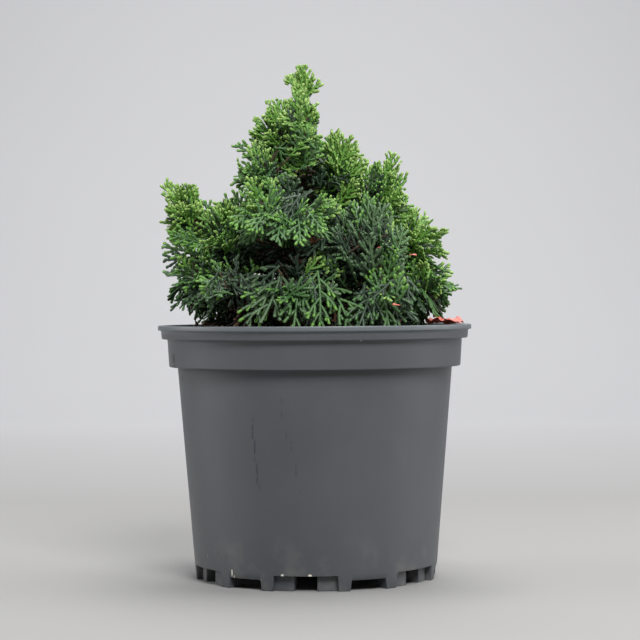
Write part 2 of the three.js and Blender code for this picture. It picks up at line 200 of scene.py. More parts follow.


# %% [markdown]
# ## The pot's finish
#
# The pot is injection-moulded polypropylene, grey right through, with the dull sheen of a
# fine moulded texture. A used pot is never one grey. It has faint cloudy mottling, drips of
# dried compost and a few pale scuffs near the base. A painted highlight makes the lip paler,
# and painted shade darkens the corner under the collar. Each is mixed over the grey with a
# mask. Noise gives the masks a natural, broken edge, and the height on the pot says where
# they fade in.

# %% Wear and painted light on the pot
# From and to height in metres, as the shader reads them, over which a mask fades in.
DUST_FADE = (0.034, 0.0)
SCUFF_FADE = (0.035, 0.02)
# Heights over which the lip's painted highlight and the painted shade under the collar fade.
LIP_HIGHLIGHT_FADE = (0.1474, 0.1498)
COLLAR_SHADE_FADE = (0.1165, 0.1255)
COLLAR_SHADE_END = (0.1285, 0.1275)


def wear_and_painted_light(made, grey, height):
    """Dust and scuffs near the base, a painted highlight on the lip and painted shade under the collar.
    """
    dust = made.times(made.ramp(height, *DUST_FADE), made.ramp(made.noise(60.0), 0.5, 0.75))
    grey = made.tint(grey, made.times(dust, 0.5), 138, 132, 122)
    scuffs = made.ramp(made.noise(260.0, place=made.stretched(1.0, 1.0, 0.35)), 0.7, 0.76)
    ragged = made.calc("ADD", height, made.times(made.noise(20.0), 0.03))
    low = made.ramp(ragged, *SCUFF_FADE)
    grey = made.tint(grey, made.times(scuffs, low), 196, 196, 190)
    # Painted highlight: the lip's top is made paler, where light falls on its rounded edge.
    lip_highlight = made.times(made.ramp(height, *LIP_HIGHLIGHT_FADE), 0.75)
    grey = made.tint(grey, lip_highlight, 98, 104, 108)
    # Painted shade: a dark band in the corner under the collar, where its shadow falls.
    corner = made.times(made.ramp(height, *COLLAR_SHADE_FADE), made.ramp(height, *COLLAR_SHADE_END))
    return made.tint(grey, made.times(corner, 0.42), 44, 43, 42)


print("dust reaches up to, m:", DUST_FADE[0])

# %% [markdown]
# Two lines of short dark dashes run down the front, where the pot rubbed against a bench.
# They need a mask of their own: how far a spot is from a slanting line that moves in steps,
# cut up along the height by noise. A single mark is an egg-shaped region around a spot, and
# noise is added to the distance from the spot, which makes its rim ragged.

# %% Dashes and single marks
# Each line of dashes: where it is across the pot in metres, at the height DASH_TOP, and its
# slope and strength.
DASH_LINES = [(-0.0381, 0.098, 0.7), (-0.021, 0.21, 0.35)]
DASH_TOP = 0.11
DASH_STEP = 0.0125
# Single marks: the spot, its half-size in each direction, and its colour.
POT_MARKS = [
    # The first three marks stand for small slits at the collar, and their dark is painted shade inside
    # them.
    ((-84.0, -29, 133.6), (7, 2.9, 3.2), (22, 22, 24)),
    ((-84.0, -29, 128.9), (6, 2.4, 1.2), (30, 30, 32)),
    ((-79.0, -24, 121.8), (6, 2.4, 1.6), (40, 38, 38)),
    ((-48.9, -54, 9.2), (0.5, 4, 2.6), (206, 202, 192)),
    ((-47.6, -54, 6.8), (0.4, 4, 1.6), (190, 186, 176)),
    ((-19.4, -71, 9.6), (1.0, 4, 0.8), (216, 214, 204)),
    ((-3.4, -73, 9.6), (1.3, 4, 0.9), (220, 214, 196)),
    ((26.6, -88, 144.6), (0.7, 4, 0.5), (180, 180, 178)),
]


def dashed(made, grey, x, y, height):
    """Two slanting lines of short dark dashes on the front."""
    step = made.calc("SNAP", height, DASH_STEP)
    dashes = made.ramp(made.noise(1.0, place=made.stretched(300.0, 300.0, 130.0)), 0.5, 0.56)
    band = made.times(made.ramp(height, 0.055, 0.06), made.ramp(height, 0.117, 0.114))
    front = made.times(band, made.ramp(y, -0.05, -0.06))
    for start, slope, strength in DASH_LINES:
        line = made.calc("ADD", start + slope * DASH_TOP, made.times(step, -slope))
        away = made.calc("ABSOLUTE", made.calc("SUBTRACT", x, line))
        mark = made.times(made.ramp(away, 0.0007, 0.0003), dashes)
        mark = made.times(mark, front)
        grey = made.tint(grey, made.times(mark, strength), 38, 40, 56)
    return grey


def marked(made, grey):
    """The grey with the single marks on it."""
    for spot, size, colour in POT_MARKS:
        away = made.vector("SUBTRACT", made.place, Vector(spot) * MM)
        away = made.vector("MULTIPLY", away, [1 / s / MM for s in size])
        away = made.node("ShaderNodeVectorMath", {0: away}, operation="LENGTH").outputs["Value"]
        away = made.calc("ADD", away, made.times(made.noise(900.0, 2.0), 0.8))
        grey = made.tint(grey, made.ramp(away, 1.4, 1.1), *colour)
    return grey


print("lines of dashes:", len(DASH_LINES), "single marks:", len(POT_MARKS))

# %% [markdown]
# Everything is mixed in the order in which it came on to the pot: the grey with its flow
# marks from the mould, then wear, then the dashes and marks. The painted highlight and shade
# go in with the wear. The sheen follows the cloudy mottling, so the darker places are also a
# little smoother.

# %% The pot's finish
def pot_finish():
    made = Finish("grey_polypropylene", 0.46)
    clouds = made.ramp(made.noise(14.0), 0.3, 0.7)
    flow = made.ramp(made.noise(30.0, place=made.stretched(1.0, 1.0, 0.12)), 0.35, 0.75)
    grey = made.mix(clouds, screen_colour(70, 73, 77), screen_colour(79, 82, 86))
    grey = made.tint(grey, made.times(flow, 0.35), 64, 66, 69)
    split = made.node("ShaderNodeSeparateXYZ", {0: made.place})
    x, y, height = (split.outputs[axis] for axis in "XYZ")
    grey = dashed(made, wear_and_painted_light(made, grey, height), x, y, height)
    made.colour(marked(made, grey))
    sheen = {"Value": clouds, "To Min": 0.42, "To Max": 0.54}
    made.roughness(made.node("ShaderNodeMapRange", sheen).outputs["Result"])
    grain = made.calc("ADD", made.noise(900.0, 2.0), made.times(flow, 0.5))
    made.relief(grain, 0.05, 0.5)
    return made.material


POT_FINISH = pot_finish()
print("finish:", POT_FINISH.name)

# %% [markdown]
# ## The pot's wall
#
# A mould maker draws a pot as one section and turns it around its axis, and we do the same.
# From the bottom up the section has a skirt, the tapered body, a wider collar that makes
# pots stack without jamming, a band and a lip. A sharp corner never catches the light, so
# each corner of the section becomes a small arc first. The heights and radii are the same
# as in the frame.

# %% The section of the wall
POT_HEIGHT = 153
WALL = 1.6
FOOT_HEIGHT = 9.2
FLOOR_TOP = 11
COLLAR_FOOT = 128
BAND_FOOT = 144.8
LIP_FOOT = 150
BASE_RADIUS = 72.8
BODY_RADIUS = 83.2
# Outer radii at the foot and the top of the collar and of the band, and the lip's.
COLLAR_RADII = (88.3, 89.3)
BAND_RADII = (92.7, 93.2)
LIP_RADIUS = 95


def body_radius(height):
    """Outer radius of the tapered body at a height."""
    return BASE_RADIUS + (BODY_RADIUS - BASE_RADIUS) * height / COLLAR_FOOT


# Heights of the rows of points up the body, closer together near the foot.
BODY_ROWS = (8.8, 9.6, 10.6, 12.5, *range(16, 124, 12))
SECTION = [
    (0, FOOT_HEIGHT),
    (body_radius(FOOT_HEIGHT) - WALL, FOOT_HEIGHT),
    (body_radius(0) - WALL, 0),
    (body_radius(0), 0),
    *[(body_radius(height), height) for height in BODY_ROWS],
    (body_radius(COLLAR_FOOT), COLLAR_FOOT),
    (COLLAR_RADII[0], COLLAR_FOOT),
    (COLLAR_RADII[1], BAND_FOOT),
    (BAND_RADII[0], BAND_FOOT),
    (BAND_RADII[1], LIP_FOOT),
    (LIP_RADIUS, LIP_FOOT),
    (LIP_RADIUS, POT_HEIGHT),
    (BAND_RADII[1] - WALL, POT_HEIGHT),
    (BAND_RADII[1] - WALL, BAND_FOOT + WALL),
    (COLLAR_RADII[1] - WALL, BAND_FOOT + WALL),
    (COLLAR_RADII[0] - WALL, COLLAR_FOOT + WALL),
    (BODY_RADIUS - WALL, COLLAR_FOOT + WALL),
    (body_radius(FLOOR_TOP) - WALL, FLOOR_TOP),
    (0, FLOOR_TOP),
]


def rounded(corners, radius, steps=4):
    """A section with each of its inner corners turned into a small arc."""
    corners = [np.array(corner, float) for corner in corners]
    path = [corners[0]]
    for before, corner, after in zip(corners, corners[1:], corners[2:]):
        back, on = before - corner, after - corner
        if abs(np.cross(back, on)) < 0.03 * np.linalg.norm(back) * np.linalg.norm(on):
            path.append(corner)
            continue
        reach = min(radius, 0.42 * np.linalg.norm(back), 0.42 * np.linalg.norm(on))
        start = corner + back / np.linalg.norm(back) * reach
        end = corner + on / np.linalg.norm(on) * reach
        for t in np.linspace(0, 1, steps + 1):
            path.append((1 - t) ** 2 * start + 2 * t * (1 - t) * corner + t * t * end)
    path.append(corners[-1])
    return np.array(path)


section = rounded(SECTION, 0.8)
print("points on the rounded section:", len(section))

# %% [markdown]
# ## Feet and arches
#
# Under the floor, the skirt is cut into feet, so that water can run away from six drain
# slots. Instead of cutting with another solid, we turn the section column by column and
# lift the skirt's lower edge where there is an arch or a low gap. Two columns stand close
# together at each change of height, which gives the cut the slight slope that lets a
# moulding leave its mould.

# %% The turned wall with its skirt
# Headings and widths in degrees around the pot.
ARCH_COUNT = 6
FIRST_ARCH = -94.8
ARCH_APART = 360 // ARCH_COUNT
ARCH_HEADINGS = [FIRST_ARCH + ARCH_APART * k for k in range(ARCH_COUNT)]
ARCH_HALF = 15
FOOT_WIDTH = 6
CUT_SLOPE = 0.35
COLUMN_STEP = 1.5
# How high an arch and a low gap reach.
ARCH_RISE = 9.0
GAP_RISE = 6.2


def skirt_edge(heading):
    """Height of the skirt's lower edge at a heading in degrees."""
    turn = (heading - FIRST_ARCH + ARCH_APART / 2) % ARCH_APART - ARCH_APART / 2
    if abs(turn) < ARCH_HALF:
        return ARCH_RISE
    return 0.0 if abs(turn) <= ARCH_HALF + FOOT_WIDTH else GAP_RISE


def column_headings():
    """Headings of the columns: even steps, with pairs where the skirt changes height."""
    changes = [
        heading + side * at + slope
        for heading in ARCH_HEADINGS
        for side in (-1, 1)
        for at in (ARCH_HALF, ARCH_HALF + FOOT_WIDTH)
        for slope in (-CUT_SLOPE, CUT_SLOPE)
    ]
    even = FIRST_ARCH + np.arange(0, 360, COLUMN_STEP)
    apart = [a for a in even if min(abs((a - c + 180) % 360 - 180) for c in changes) > 0.5]
    return np.sort(np.array(apart + changes) % 360)


def ring_faces(rings, sides, start=0):
    """Faces between rings of points. Two more points, after them, close the ends."""
    index = start + np.arange(rings * sides).reshape(rings, sides)
    after = np.roll(index, -1, axis=1)
    quads = np.stack([index[:-1], after[:-1], after[1:], index[1:]], -1).reshape(-1, 4)
    end = np.full(sides, index[-1, -1] + 1)
    first = np.stack([end, after[0], index[0]], -1)
    last = np.stack([end + 1, index[-1], after[-1]], -1)
    return quads, np.concatenate([first, last])


def turned(section, headings, lift_skirt=False):
    """A section turned around the axis. Its first and last points are on the axis."""
    turn = np.radians(headings)
    radius, height = section[1:-1].T
    rows, columns = len(radius), len(turn)
    points = np.empty((rows, columns, 3))
    points[..., 0] = radius[:, None] * np.cos(turn)
    points[..., 1] = radius[:, None] * np.sin(turn)
    points[..., 2] = height[:, None]
    if lift_skirt:
        low = np.array([skirt_edge(a) for a in headings])
        skirt = height < FOOT_HEIGHT
        share = height[skirt, None] / FOOT_HEIGHT
        points[skirt, :, 2] = low + share * (FOOT_HEIGHT - low)
    axis = [[0, 0, section[0][1]], [0, 0, section[-1][1]]]
    return np.concatenate([points.reshape(-1, 3), axis]), *ring_faces(rows, columns)


wall_mesh = fill_mesh("pot_wall", *turned(section, column_headings(), lift_skirt=True))
print("triangles in the wall:", count_triangles(wall_mesh))

# %% [markdown]
# Each foot is a block behind the skirt, and its inner half stands back into the arch. It
# is drawn as a flat outline around the axis, pulled up to the floor, and its edges are
# bevelled, because a foot that stands on a bench is worn smooth.

# %% Feet
# Radii of a foot's outer face, of its back and of the half that stands in the arch.
FOOT_FRONT = BASE_RADIUS - 0.5
FOOT_BACK = 62.3
FOOT_RECESS = 69.4
# Degrees from the middle of an arch to a foot's inner end, and room at its sides.
RECESS_END = 5.5
FOOT_GAP = 0.2
FOOT_BEVEL = 0.35


def sector_block(outline, low, high, bevel):
    """A block on an outline of (radius, heading) points, with bevelled edges."""
    shape = bmesh.new()
    flat = [(r * math.cos(math.radians(a)), r * math.sin(math.radians(a))) for r, a in outline]
    bottom = [shape.verts.new((x * MM, y * MM, low * MM)) for x, y in flat]
    top = [shape.verts.new((x * MM, y * MM, high * MM)) for x, y in flat]
    shape.faces.new(bottom)
    shape.faces.new(top)
    for k in range(len(flat)):
        after = (k + 1) % len(flat)
        shape.faces.new((bottom[k], bottom[after], top[after], top[k]))
    bmesh.ops.recalc_face_normals(shape, faces=shape.faces)
    if bevel:
        sharp = [e for e in shape.edges if e.calc_face_angle(0) > 0.5]
        bmesh.ops.bevel(shape, geom=sharp, offset=bevel * MM, segments=2, affect="EDGES")
    return shape


def arc(radius, start, end, steps=6):
    return [(radius, a) for a in np.linspace(start, end, steps)]


def foot_outline(heading, side):
    """The outline of a foot: its outer face, its back and the part in the arch."""
    inner = heading + side * (ARCH_HALF + FOOT_GAP)
    outer = heading + side * (ARCH_HALF + FOOT_WIDTH - FOOT_GAP)
    deep = heading + side * RECESS_END
    faces = ((FOOT_FRONT, inner, outer), (FOOT_BACK, outer, deep), (FOOT_RECESS, deep, inner))
    return [point for face in faces for point in arc(*face)]


def take_in(whole, block):
    """Adds the faces of a block to a larger body."""
    held = bpy.data.meshes.new("block")
    block.to_mesh(held)
    whole.from_mesh(held)


pot_body = bmesh.new()
pot_body.from_mesh(wall_mesh)
for heading in ARCH_HEADINGS:
    for side in (-1, 1):
        outline = foot_outline(heading, side)
        take_in(pot_body, sector_block(outline, 0, FOOT_HEIGHT + 0.8, FOOT_BEVEL))
pot_body.to_mesh(wall_mesh)
pot = add_piece("pot_moulding", wall_mesh, POT_FINISH, ["pot"])

# %% [markdown]
# The drain slots go right through the floor, so here one solid really is cut from another.
# A Boolean modifier does that, and the finished mesh is then read back from it, which
# leaves no modifier behind.

# %% Cutting the drain slots
# Outer and inner radius of a slot, and half its width in degrees.
SLOT_RADII = (67.2, 52)
SLOT_HALF = 4.5


def settled(piece):
    """The piece's mesh as its modifiers leave it."""
    graph = bpy.context.evaluated_depsgraph_get()
    made = bpy.data.meshes.new_from_object(piece.evaluated_get(graph))
    piece.modifiers.clear()
    return made


slots = bmesh.new()
for heading in ARCH_HEADINGS:
    start, end = heading - SLOT_HALF, heading + SLOT_HALF
    outline = [*arc(SLOT_RADII[0], start, end), *arc(SLOT_RADII[1], end, start)]
    take_in(slots, sector_block(outline, FOOT_HEIGHT - 1, FLOOR_TOP + 1, 0))
slot_mesh = bpy.data.meshes.new("slots")
slots.to_mesh(slot_mesh)
slot_cutter = bpy.data.objects.new("slots", slot_mesh)
bpy.context.scene.collection.objects.link(slot_cutter)
slot_cut = pot.modifiers.new("drain slots", "BOOLEAN")
slot_cut.operation = "DIFFERENCE"
slot_cut.object = slot_cutter
pot.data = settled(pot)
pot.data.set_sharp_from_angle(angle=math.radians(34))
bpy.data.objects.remove(slot_cutter)
print("triangles in the whole pot:", count_triangles(pot.data))

# %% [markdown]
# ## The compost
#
# Potting compost is dark peat with bits of bark, and it settles into a rough surface a
# little below the lip. Its body is turned like the pot. Noise then lifts and lowers the top,
# in wide waves with smaller lumps on them, and a scatter of loose crumbs breaks up the even
# grid.

# %% Compost
SOIL_LEVEL = 141


def soil_finish():
    made = Finish("peat_compost", 0.95)
    lumps = made.ramp(made.noise(120.0, 6.0), 0.35, 0.7)
    brown = made.mix(lumps, screen_colour(34, 25, 19), screen_colour(74, 55, 40))
    fibres = made.ramp(made.noise(420.0, 2.0), 0.66, 0.72)
    made.colour(made.tint(brown, fibres, 122, 96, 68))
    made.relief(made.noise(600.0, 5.0), 0.5, 0.8)
    return made.material


SOIL_FINISH = soil_finish()
SOIL_RELIEF = 1.3
# Room between bodies that touch on the real object.
CLEAR = 0.3
SOIL_RADIUS = COLLAR_RADII[0] - WALL - CLEAR
SOIL_LEDGE = COLLAR_FOOT + WALL + CLEAR

floor_rows = [(0, FLOOR_TOP + CLEAR), (body_radius(FLOOR_TOP) - WALL - CLEAR, FLOOR_TOP + CLEAR)]
ledge_rows = [(BODY_RADIUS - WALL - CLEAR, SOIL_LEDGE), (SOIL_RADIUS, SOIL_LEDGE)]
ledge_rows.append((SOIL_RADIUS, SOIL_LEVEL - 1))
top_rows = [(r, SOIL_LEVEL - 0.6) for r in np.linspace(SOIL_RADIUS - 1, 1, 50)]
soil_section = np.array([*floor_rows, *ledge_rows, *top_rows, (0, SOIL_LEVEL)], float)


def soil_rise(point):
    """How far noise lifts a point of the surface."""
    wide, fine = noise.noise(Vector(point) * 0.08), noise.noise(Vector(point) * 0.4)
    return SOIL_RELIEF * (wide + 0.7 * fine)


points, quads, triangles = turned(soil_section, np.arange(0, 360, 2.0))
surface = points[:, 2] > SOIL_LEVEL - 3
points[surface, 2] += np.array([soil_rise(point) for point in points[surface]])
soil_mesh = fill_mesh("compost", points, quads, triangles)
add_piece("compost", soil_mesh, SOIL_FINISH, ["growing_medium"])

# %% [markdown]
# A crumb is a bit of bark or peat: a flattened eight-sided lump. All crumbs are worked out
# at once as one array, with a seeded generator, so that the same crumbs come back each
# time. Their finish is like the compost's but paler in places, as bark is.

# %% Loose crumbs
CRUMB_COUNT = 1100
CRUMB_LEVEL = SOIL_LEVEL + 1.1


def crumbs(count, rng):
    """Points and faces of loose lumps that lie on the compost."""
    corner = np.array([(1, 0, 0), (0, 1, 0), (-1, 0, 0), (0, -1, 0), (0, 0, 1), (0, 0, -1)], float)
    faces = [(0, 1, 4), (1, 2, 4), (2, 3, 4), (3, 0, 4), (1, 0, 5), (2, 1, 5), (3, 2, 5), (0, 3, 5)]
    turn = rng.uniform(0, 2 * np.pi, count)
    away = (SOIL_RADIUS - 4) * np.sqrt(rng.uniform(0.02, 1, count))
    size = rng.uniform(0.7, 2.9, (count, 1, 1)) * rng.uniform(0.5, 1.2, (count, 1, 3)) * (1, 1, 0.6)
    shape = corner * size * rng.uniform(0.7, 1.2, (count, 6, 1))
    cosine, sine = np.cos(turn)[:, None], np.sin(turn)[:, None]
    flat = np.stack([
        shape[..., 0] * cosine - shape[..., 1] * sine,
        shape[..., 0] * sine + shape[..., 1] * cosine,
        shape[..., 2],
    ], -1)
    level = np.full(count, CRUMB_LEVEL)
    spot = np.stack([away * np.cos(7 * turn), away * np.sin(7 * turn), level], -1)
    triangles = np.arange(count)[:, None, None] * 6 + np.array(faces)
    return (flat + spot[:, None]).reshape(-1, 3), triangles.reshape(-1, 3)


def crumb_finish():
    made = Finish("bark_crumbs", 0.9)
    kinds = made.ramp(made.noise(90.0, 1.0), 0.35, 0.68)
    brown = made.mix(kinds, screen_colour(38, 28, 22), screen_colour(112, 84, 58))
    grain = made.ramp(made.noise(700.0, 3.0), 0.4, 0.7)
    made.colour(made.tint(brown, made.times(grain, 0.4), 132, 106, 78))
    made.relief(made.noise(900.0, 4.0), 0.4, 0.6)
    return made.material


crumb_points, crumb_faces = crumbs(CRUMB_COUNT, np.random.default_rng(5))
crumb_mesh = fill_mesh("crumbs", crumb_points, (), crumb_faces, smooth=False)
add_piece("compost_crumbs", crumb_mesh, crumb_finish())

# %% [markdown]
# ## Paths for limbs
#
# The trunk, the boughs and every twig are round bodies along a path. A path is kept here as
# closely spaced points, and is read by a share of its length. The trunk's path is a smooth
# curve through five points, of the kind that CAD tools call centripetal Catmull-Rom. A
# bough follows a shallow arc: it leaves the trunk level and turns up at its end.

# %% Paths
class Path:
    """A curve as closely spaced points, read by a share of its length."""

    def __init__(self, points):
        self.points = np.asarray(points, float)
        steps = np.linalg.norm(np.diff(self.points, axis=0), axis=1)
        self.travel = np.concatenate([[0], np.cumsum(steps)])
        self.length = self.travel[-1]

    def at(self, share):
        """The point, or the points, at a share or shares of the length."""
        reach = np.asarray(share) * self.length
        return np.stack([np.interp(reach, self.travel, axis) for axis in self.points.T], -1)

    def tangent(self, share):
        step = 0.01
        way = self.at(min(1, share + step)) - self.at(max(0, share - step))
        return way / np.linalg.norm(way)


def unit(vectors):
    """Vectors with their length brought to 1."""
    return vectors / np.linalg.norm(vectors, axis=-1, keepdims=True)


def square_to(way, vector):
    """The way of a vector's part that is square to another way."""
    return unit(vector - way * vector.dot(way))


def arch(start, middle, end, steps=24):
    """The curve from start to end that is drawn towards middle on its way."""
    t = np.linspace(0, 1, steps + 1)[:, None]
    return Path((1 - t) ** 2 * start + 2 * t * (1 - t) * middle + t * t * end)


def smooth_path(corners, steps=50):
    """The centripetal curve through some points."""
    corners = [np.array(corner, float) for corner in corners]
    ends = [2 * corners[0] - corners[1], *corners, 2 * corners[-1] - corners[-2]]
    path = []
    for p0, p1, p2, p3 in zip(ends, ends[1:], ends[2:], ends[3:]):
        d0, d1, d2 = (np.linalg.norm(b - a) ** 0.5 for a, b in ((p0, p1), (p1, p2), (p2, p3)))
        t1 = ((p1 - p0) / d0 - (p2 - p0) / (d0 + d1) + (p2 - p1) / d1) * d1
        t2 = ((p2 - p1) / d1 - (p3 - p1) / (d1 + d2) + (p3 - p2) / d2) * d1
        for t in np.linspace(0, 1, steps, endpoint=False):
            rise = 2 * p1 - 2 * p2 + t1 + t2
            turn = 3 * p2 - 3 * p1 - 2 * t1 - t2
            path.append(p1 + t1 * t + turn * t * t + rise * t ** 3)
    return Path([*path, corners[-1]])


# %% [markdown]
# The trunk thins quickly above its root flare and then more evenly. Boughs, stems and twigs
# thin evenly all along, so one helper makes their radii from the sizes of both ends.

# %% The trunk's path, and radii
trunk_path = smooth_path([(-1, 0, SOIL_LEVEL), (1, 1, 168), (-3, 2, 205), (-8, 1, 245), (-7, 0, 284)])
TRUNK_FOOT = 6
TRUNK_TIP = 1.1
ROOT_FLARE = 2.6


def trunk_radius(share):
    return TRUNK_FOOT + (TRUNK_TIP - TRUNK_FOOT) * share ** 0.8 + ROOT_FLARE * np.exp(-share / 0.05)


def tapered(foot, tip):
    """A radius that goes evenly from one value to another along a limb."""
    return lambda share: foot + (tip - foot) * share


bough_radius = tapered(2.4, 1.4)
stem_radius = tapered(1.4, 1.0)
print("length of the trunk, mm:", round(trunk_path.length, 1))

# %% [markdown]
# ## Masses and the space of each
#
# The crown is a set of foliage masses, each with a centre, three half-sizes and a name. A
# mass keeps to its own space: an egg-shaped region that stops at the planes between it and
# its neighbours, at the pot's lip and above the compost. The table gives every mass as
# centre, half-sizes and how its stem starts. The last two numbers say how bright and how
# bluish its shoots are, which comes further down. The brightness is painted light and
# shade: masses that catch more light get lighter tones, and shaded ones darker.

# %% The masses
# The fourth number of each mass is its painted light and shade, the fifth how bluish it is.
MASSES = {
    "crown_tip": ((-7, 0, 294), (12, 11, 17), ("tip", 1.0), 1.2, 0.0),
    "leader_left": ((-26, -3, 269), (19, 20, 20), ("trunk", 0.76), 0.86, 0.1),
    "leader_front": ((-6, -13, 271), (14, 17, 25), ("trunk", 0.82), 0.7, 0.1),
    "leader_back": ((-13, 16, 268), (20, 18, 24), ("trunk", 0.8), 0.66, 0.2),
    "leader_skirt": ((-31, -17, 246), (19, 23, 18), ("trunk", 0.6), 0.6, 0.15),
    "dome": ((14, 8, 246), (18, 25, 27), ("bough", 0.52), 0.6, 0.35),
    "shoulder": ((39, 1, 229), (19, 26, 29), ("bough", 0.42), 0.64, 0.4),
    "right_upper": ((65, 1, 203), (18, 26, 22), ("bough", 0.31), 0.88, 0.15),
    "right_lower": ((66, -7, 172), (21, 29, 20), ("bough", 0.12), 0.58, 0.15),
    "left_tip": ((-80, -2, 224), (13, 18, 19), ("bough", 0.41), 1.0, 0.0),
    "left_middle": ((-54, -8, 207), (22, 28, 21), ("bough", 0.3), 0.55, 0.3),
    "left_lower": ((-69, -9, 179), (24, 29, 21), ("bough", 0.17), 0.4, 0.3),
    "left_front": ((-47, -50, 172), (25, 26, 21), ("bough", 0.06), 0.36, 0.35),
    "cloud": ((-16, -49, 219), (32, 31, 22), ("bough", 0.38), 0.42, 0.1),
    "front_low": ((-10, -60, 172), (32, 28, 21), ("bough", 0.13), 0.4, 0.3),
    "front_right": ((30, -42, 202), (27, 29, 28), ("bough", 0.26), 0.14, 0.6),
    "front_right_low": ((40, -56, 170), (27, 26, 19), ("bough", 0.18), 0.36, 0.2),
    "back_upper": ((-4, 36, 236), (29, 23, 25), ("bough", 0.46), 0.6, 0.3),
    "back_right": ((43, 41, 205), (28, 29, 28), ("bough", 0.34), 0.55, 0.35),
    "back_left": ((-43, 36, 211), (30, 30, 27), ("bough", 0.34), 0.6, 0.25),
    "back_centre": ((-1, 62, 203), (28, 24, 26), ("bough", 0.24), 0.6, 0.25),
    "back_low_right": ((56, 40, 171), (28, 28, 20), ("bough", 0.15), 0.5, 0.25),
    "back_low_left": ((-55, 39, 171), (28, 28, 21), ("bough", 0.1), 0.5, 0.25),
    "back_low": ((1, 61, 171), (32, 26, 20), ("bough", 0.08), 0.5, 0.25),
}
NAMES = list(MASSES)
CENTRES = np.array([MASSES[name][0] for name in NAMES], float)
HALVES = np.array([MASSES[name][1] for name in NAMES], float)
CARRIERS = [MASSES[name][2] for name in NAMES]
BULKS = np.prod(HALVES, axis=1) ** (2 / 3)
print("masses:", len(NAMES))

# %% [markdown]
# A point belongs to the mass whose power distance is least, so the plane between two masses
# lies nearer the smaller one. The test below works on many points at once. How far a mass
# reaches along a way is found by stepping back from its full size until a point fits.

# %% The space of a mass
# Room between a mass and its neighbours, the lip and the compost.
ROOM = 0.9
REACH_STEP = 0.03
# Radii within which a mass stays over the lip and below it.
REACH_RADIUS = 94
IN_POT = 85.8
# How far a bough goes into its mass, and how deep it sags on its way there.
BOUGH_ENTRY = 0.64
BOUGH_SAG = 0.16


def in_space(points, mass, stretch):
    """Which of some points are in the space of a mass, clear of neighbours and the pot."""
    points = np.atleast_2d(points)
    share = np.linalg.norm((points - CENTRES[mass]) / HALVES[mass], axis=1)
    radius = np.hypot(points[:, 0], points[:, 1])
    fits = (share <= stretch) & (radius <= REACH_RADIUS)
    fits &= points[:, 2] >= SOIL_LEVEL + ROOM
    fits &= (radius <= IN_POT) | (points[:, 2] >= POT_HEIGHT + ROOM)
    power = ((points[:, None] - CENTRES) ** 2).sum(-1) - BULKS
    apart = np.linalg.norm(CENTRES - CENTRES[mass], axis=1)
    apart[mass] = 1
    margin = (power - power[:, [mass]]) / (2 * apart)
    margin[:, mass] = np.inf
    return fits & (margin > ROOM).all(axis=1)


SHARES = np.arange(1, REACH_STEP, -REACH_STEP)


def reach_along(mass, way):
    """How far the space of a mass reaches along a way, as a share of its half-size."""
    tried = CENTRES[mass] + HALVES[mass] * way * SHARES[:, None]
    fits = in_space(tried, mass, 1 + REACH_STEP)
    return SHARES[fits.argmax()] if fits.any() else SHARES[-1]


def bough_path(mass):
    """The bough of a mass, up to where it enters the dense growth, or None."""
    kind, share = CARRIERS[mass]
    if kind != "bough":
        return None
    start = trunk_path.at(share)
    way = unit((start - CENTRES[mass]) / HALVES[mass])
    entry = CENTRES[mass] + HALVES[mass] * way * reach_along(mass, way) * BOUGH_ENTRY
    middle = (start + entry) / 2 - (0, 0, BOUGH_SAG * np.linalg.norm(entry - start))
    return arch(start, middle, entry)


def stem_path(mass, bough):
    """The stem of a mass, from its bough's tip or the trunk to its centre."""
    kind, share = CARRIERS[mass]
    if kind == "trunk":
        return Path([trunk_path.at(share), CENTRES[mass]])
    carrier = bough or trunk_path
    way = carrier.tangent(1)
    start = carrier.at(1) + way * CLEAR
    bend = start + way * np.linalg.norm(CENTRES[mass] - start) / 2
    return arch(start, bend, CENTRES[mass])


BOUGHS = [bough_path(mass) for mass in range(len(NAMES))]
STEMS = [stem_path(mass, BOUGHS[mass]) for mass in range(len(NAMES))]
print("boughs:", sum(b is not None for b in BOUGHS), "stems:", len(STEMS))

# %% [markdown]
# ## Bark
#
# Cypress bark is reddish brown and peels in long strips, so its relief runs along the limb.
# A tube is wrapped around each path, with a frame that is carried along the curve without
# twisting. Ridged noise, stretched along the limb, pushes the tube's points in and out.
# Trunk and boughs become one mesh with real relief, and the twigs use the plain tube.

# %% Tubes along paths
def tubes(paths, radii, sides, steps, relief=None):
    """Points and quads of closed round bodies along some paths."""
    all_points, all_quads, all_triangles, start = [], [], [], 0
    turn = np.arange(sides) * 2 * np.pi / sides
    for path, radius in zip(paths, radii):
        count = steps if isinstance(steps, int) else max(3, int(path.length / steps))
        share = np.linspace(0, 1, count + 1)
        centre = path.at(share)
        along = unit(np.gradient(centre, axis=0))
        side = np.cross(along[0], (0.3, 0.9, 0.1))
        ring = np.empty((count + 1, sides, 3))
        for k in range(count + 1):
            side = square_to(along[k], side)
            other = np.cross(along[k], side)
            size = np.full(sides, radius(share[k]))
            if relief:
                size = size * relief(turn, share[k] * path.length, start)
            ring[k] = centre[k] + np.outer(size * np.cos(turn), side)
            ring[k] += np.outer(size * np.sin(turn), other)
        quads, triangles = ring_faces(count + 1, sides, start)
        all_quads.append(quads)
        all_triangles.append(triangles)
        all_points += [ring.reshape(-1, 3), centre[[0, -1]]]
        start += (count + 1) * sides + 2
    return np.concatenate(all_points), np.concatenate(all_quads), np.concatenate(all_triangles)


def bark_relief(turn, travel, seed):
    """Long peeling strips: ridged noise around the limb, stretched along it."""
    out = []
    for angle in turn:
        spot = Vector((2.2 * math.cos(angle), 2.2 * math.sin(angle), 0.11 * travel + seed))
        ridge = 1 - abs(noise.noise(spot * 1.6)) * 2
        out.append(1 + 0.13 * (ridge - 0.6) + 0.05 * noise.noise(spot * 4))
    return np.array(out)


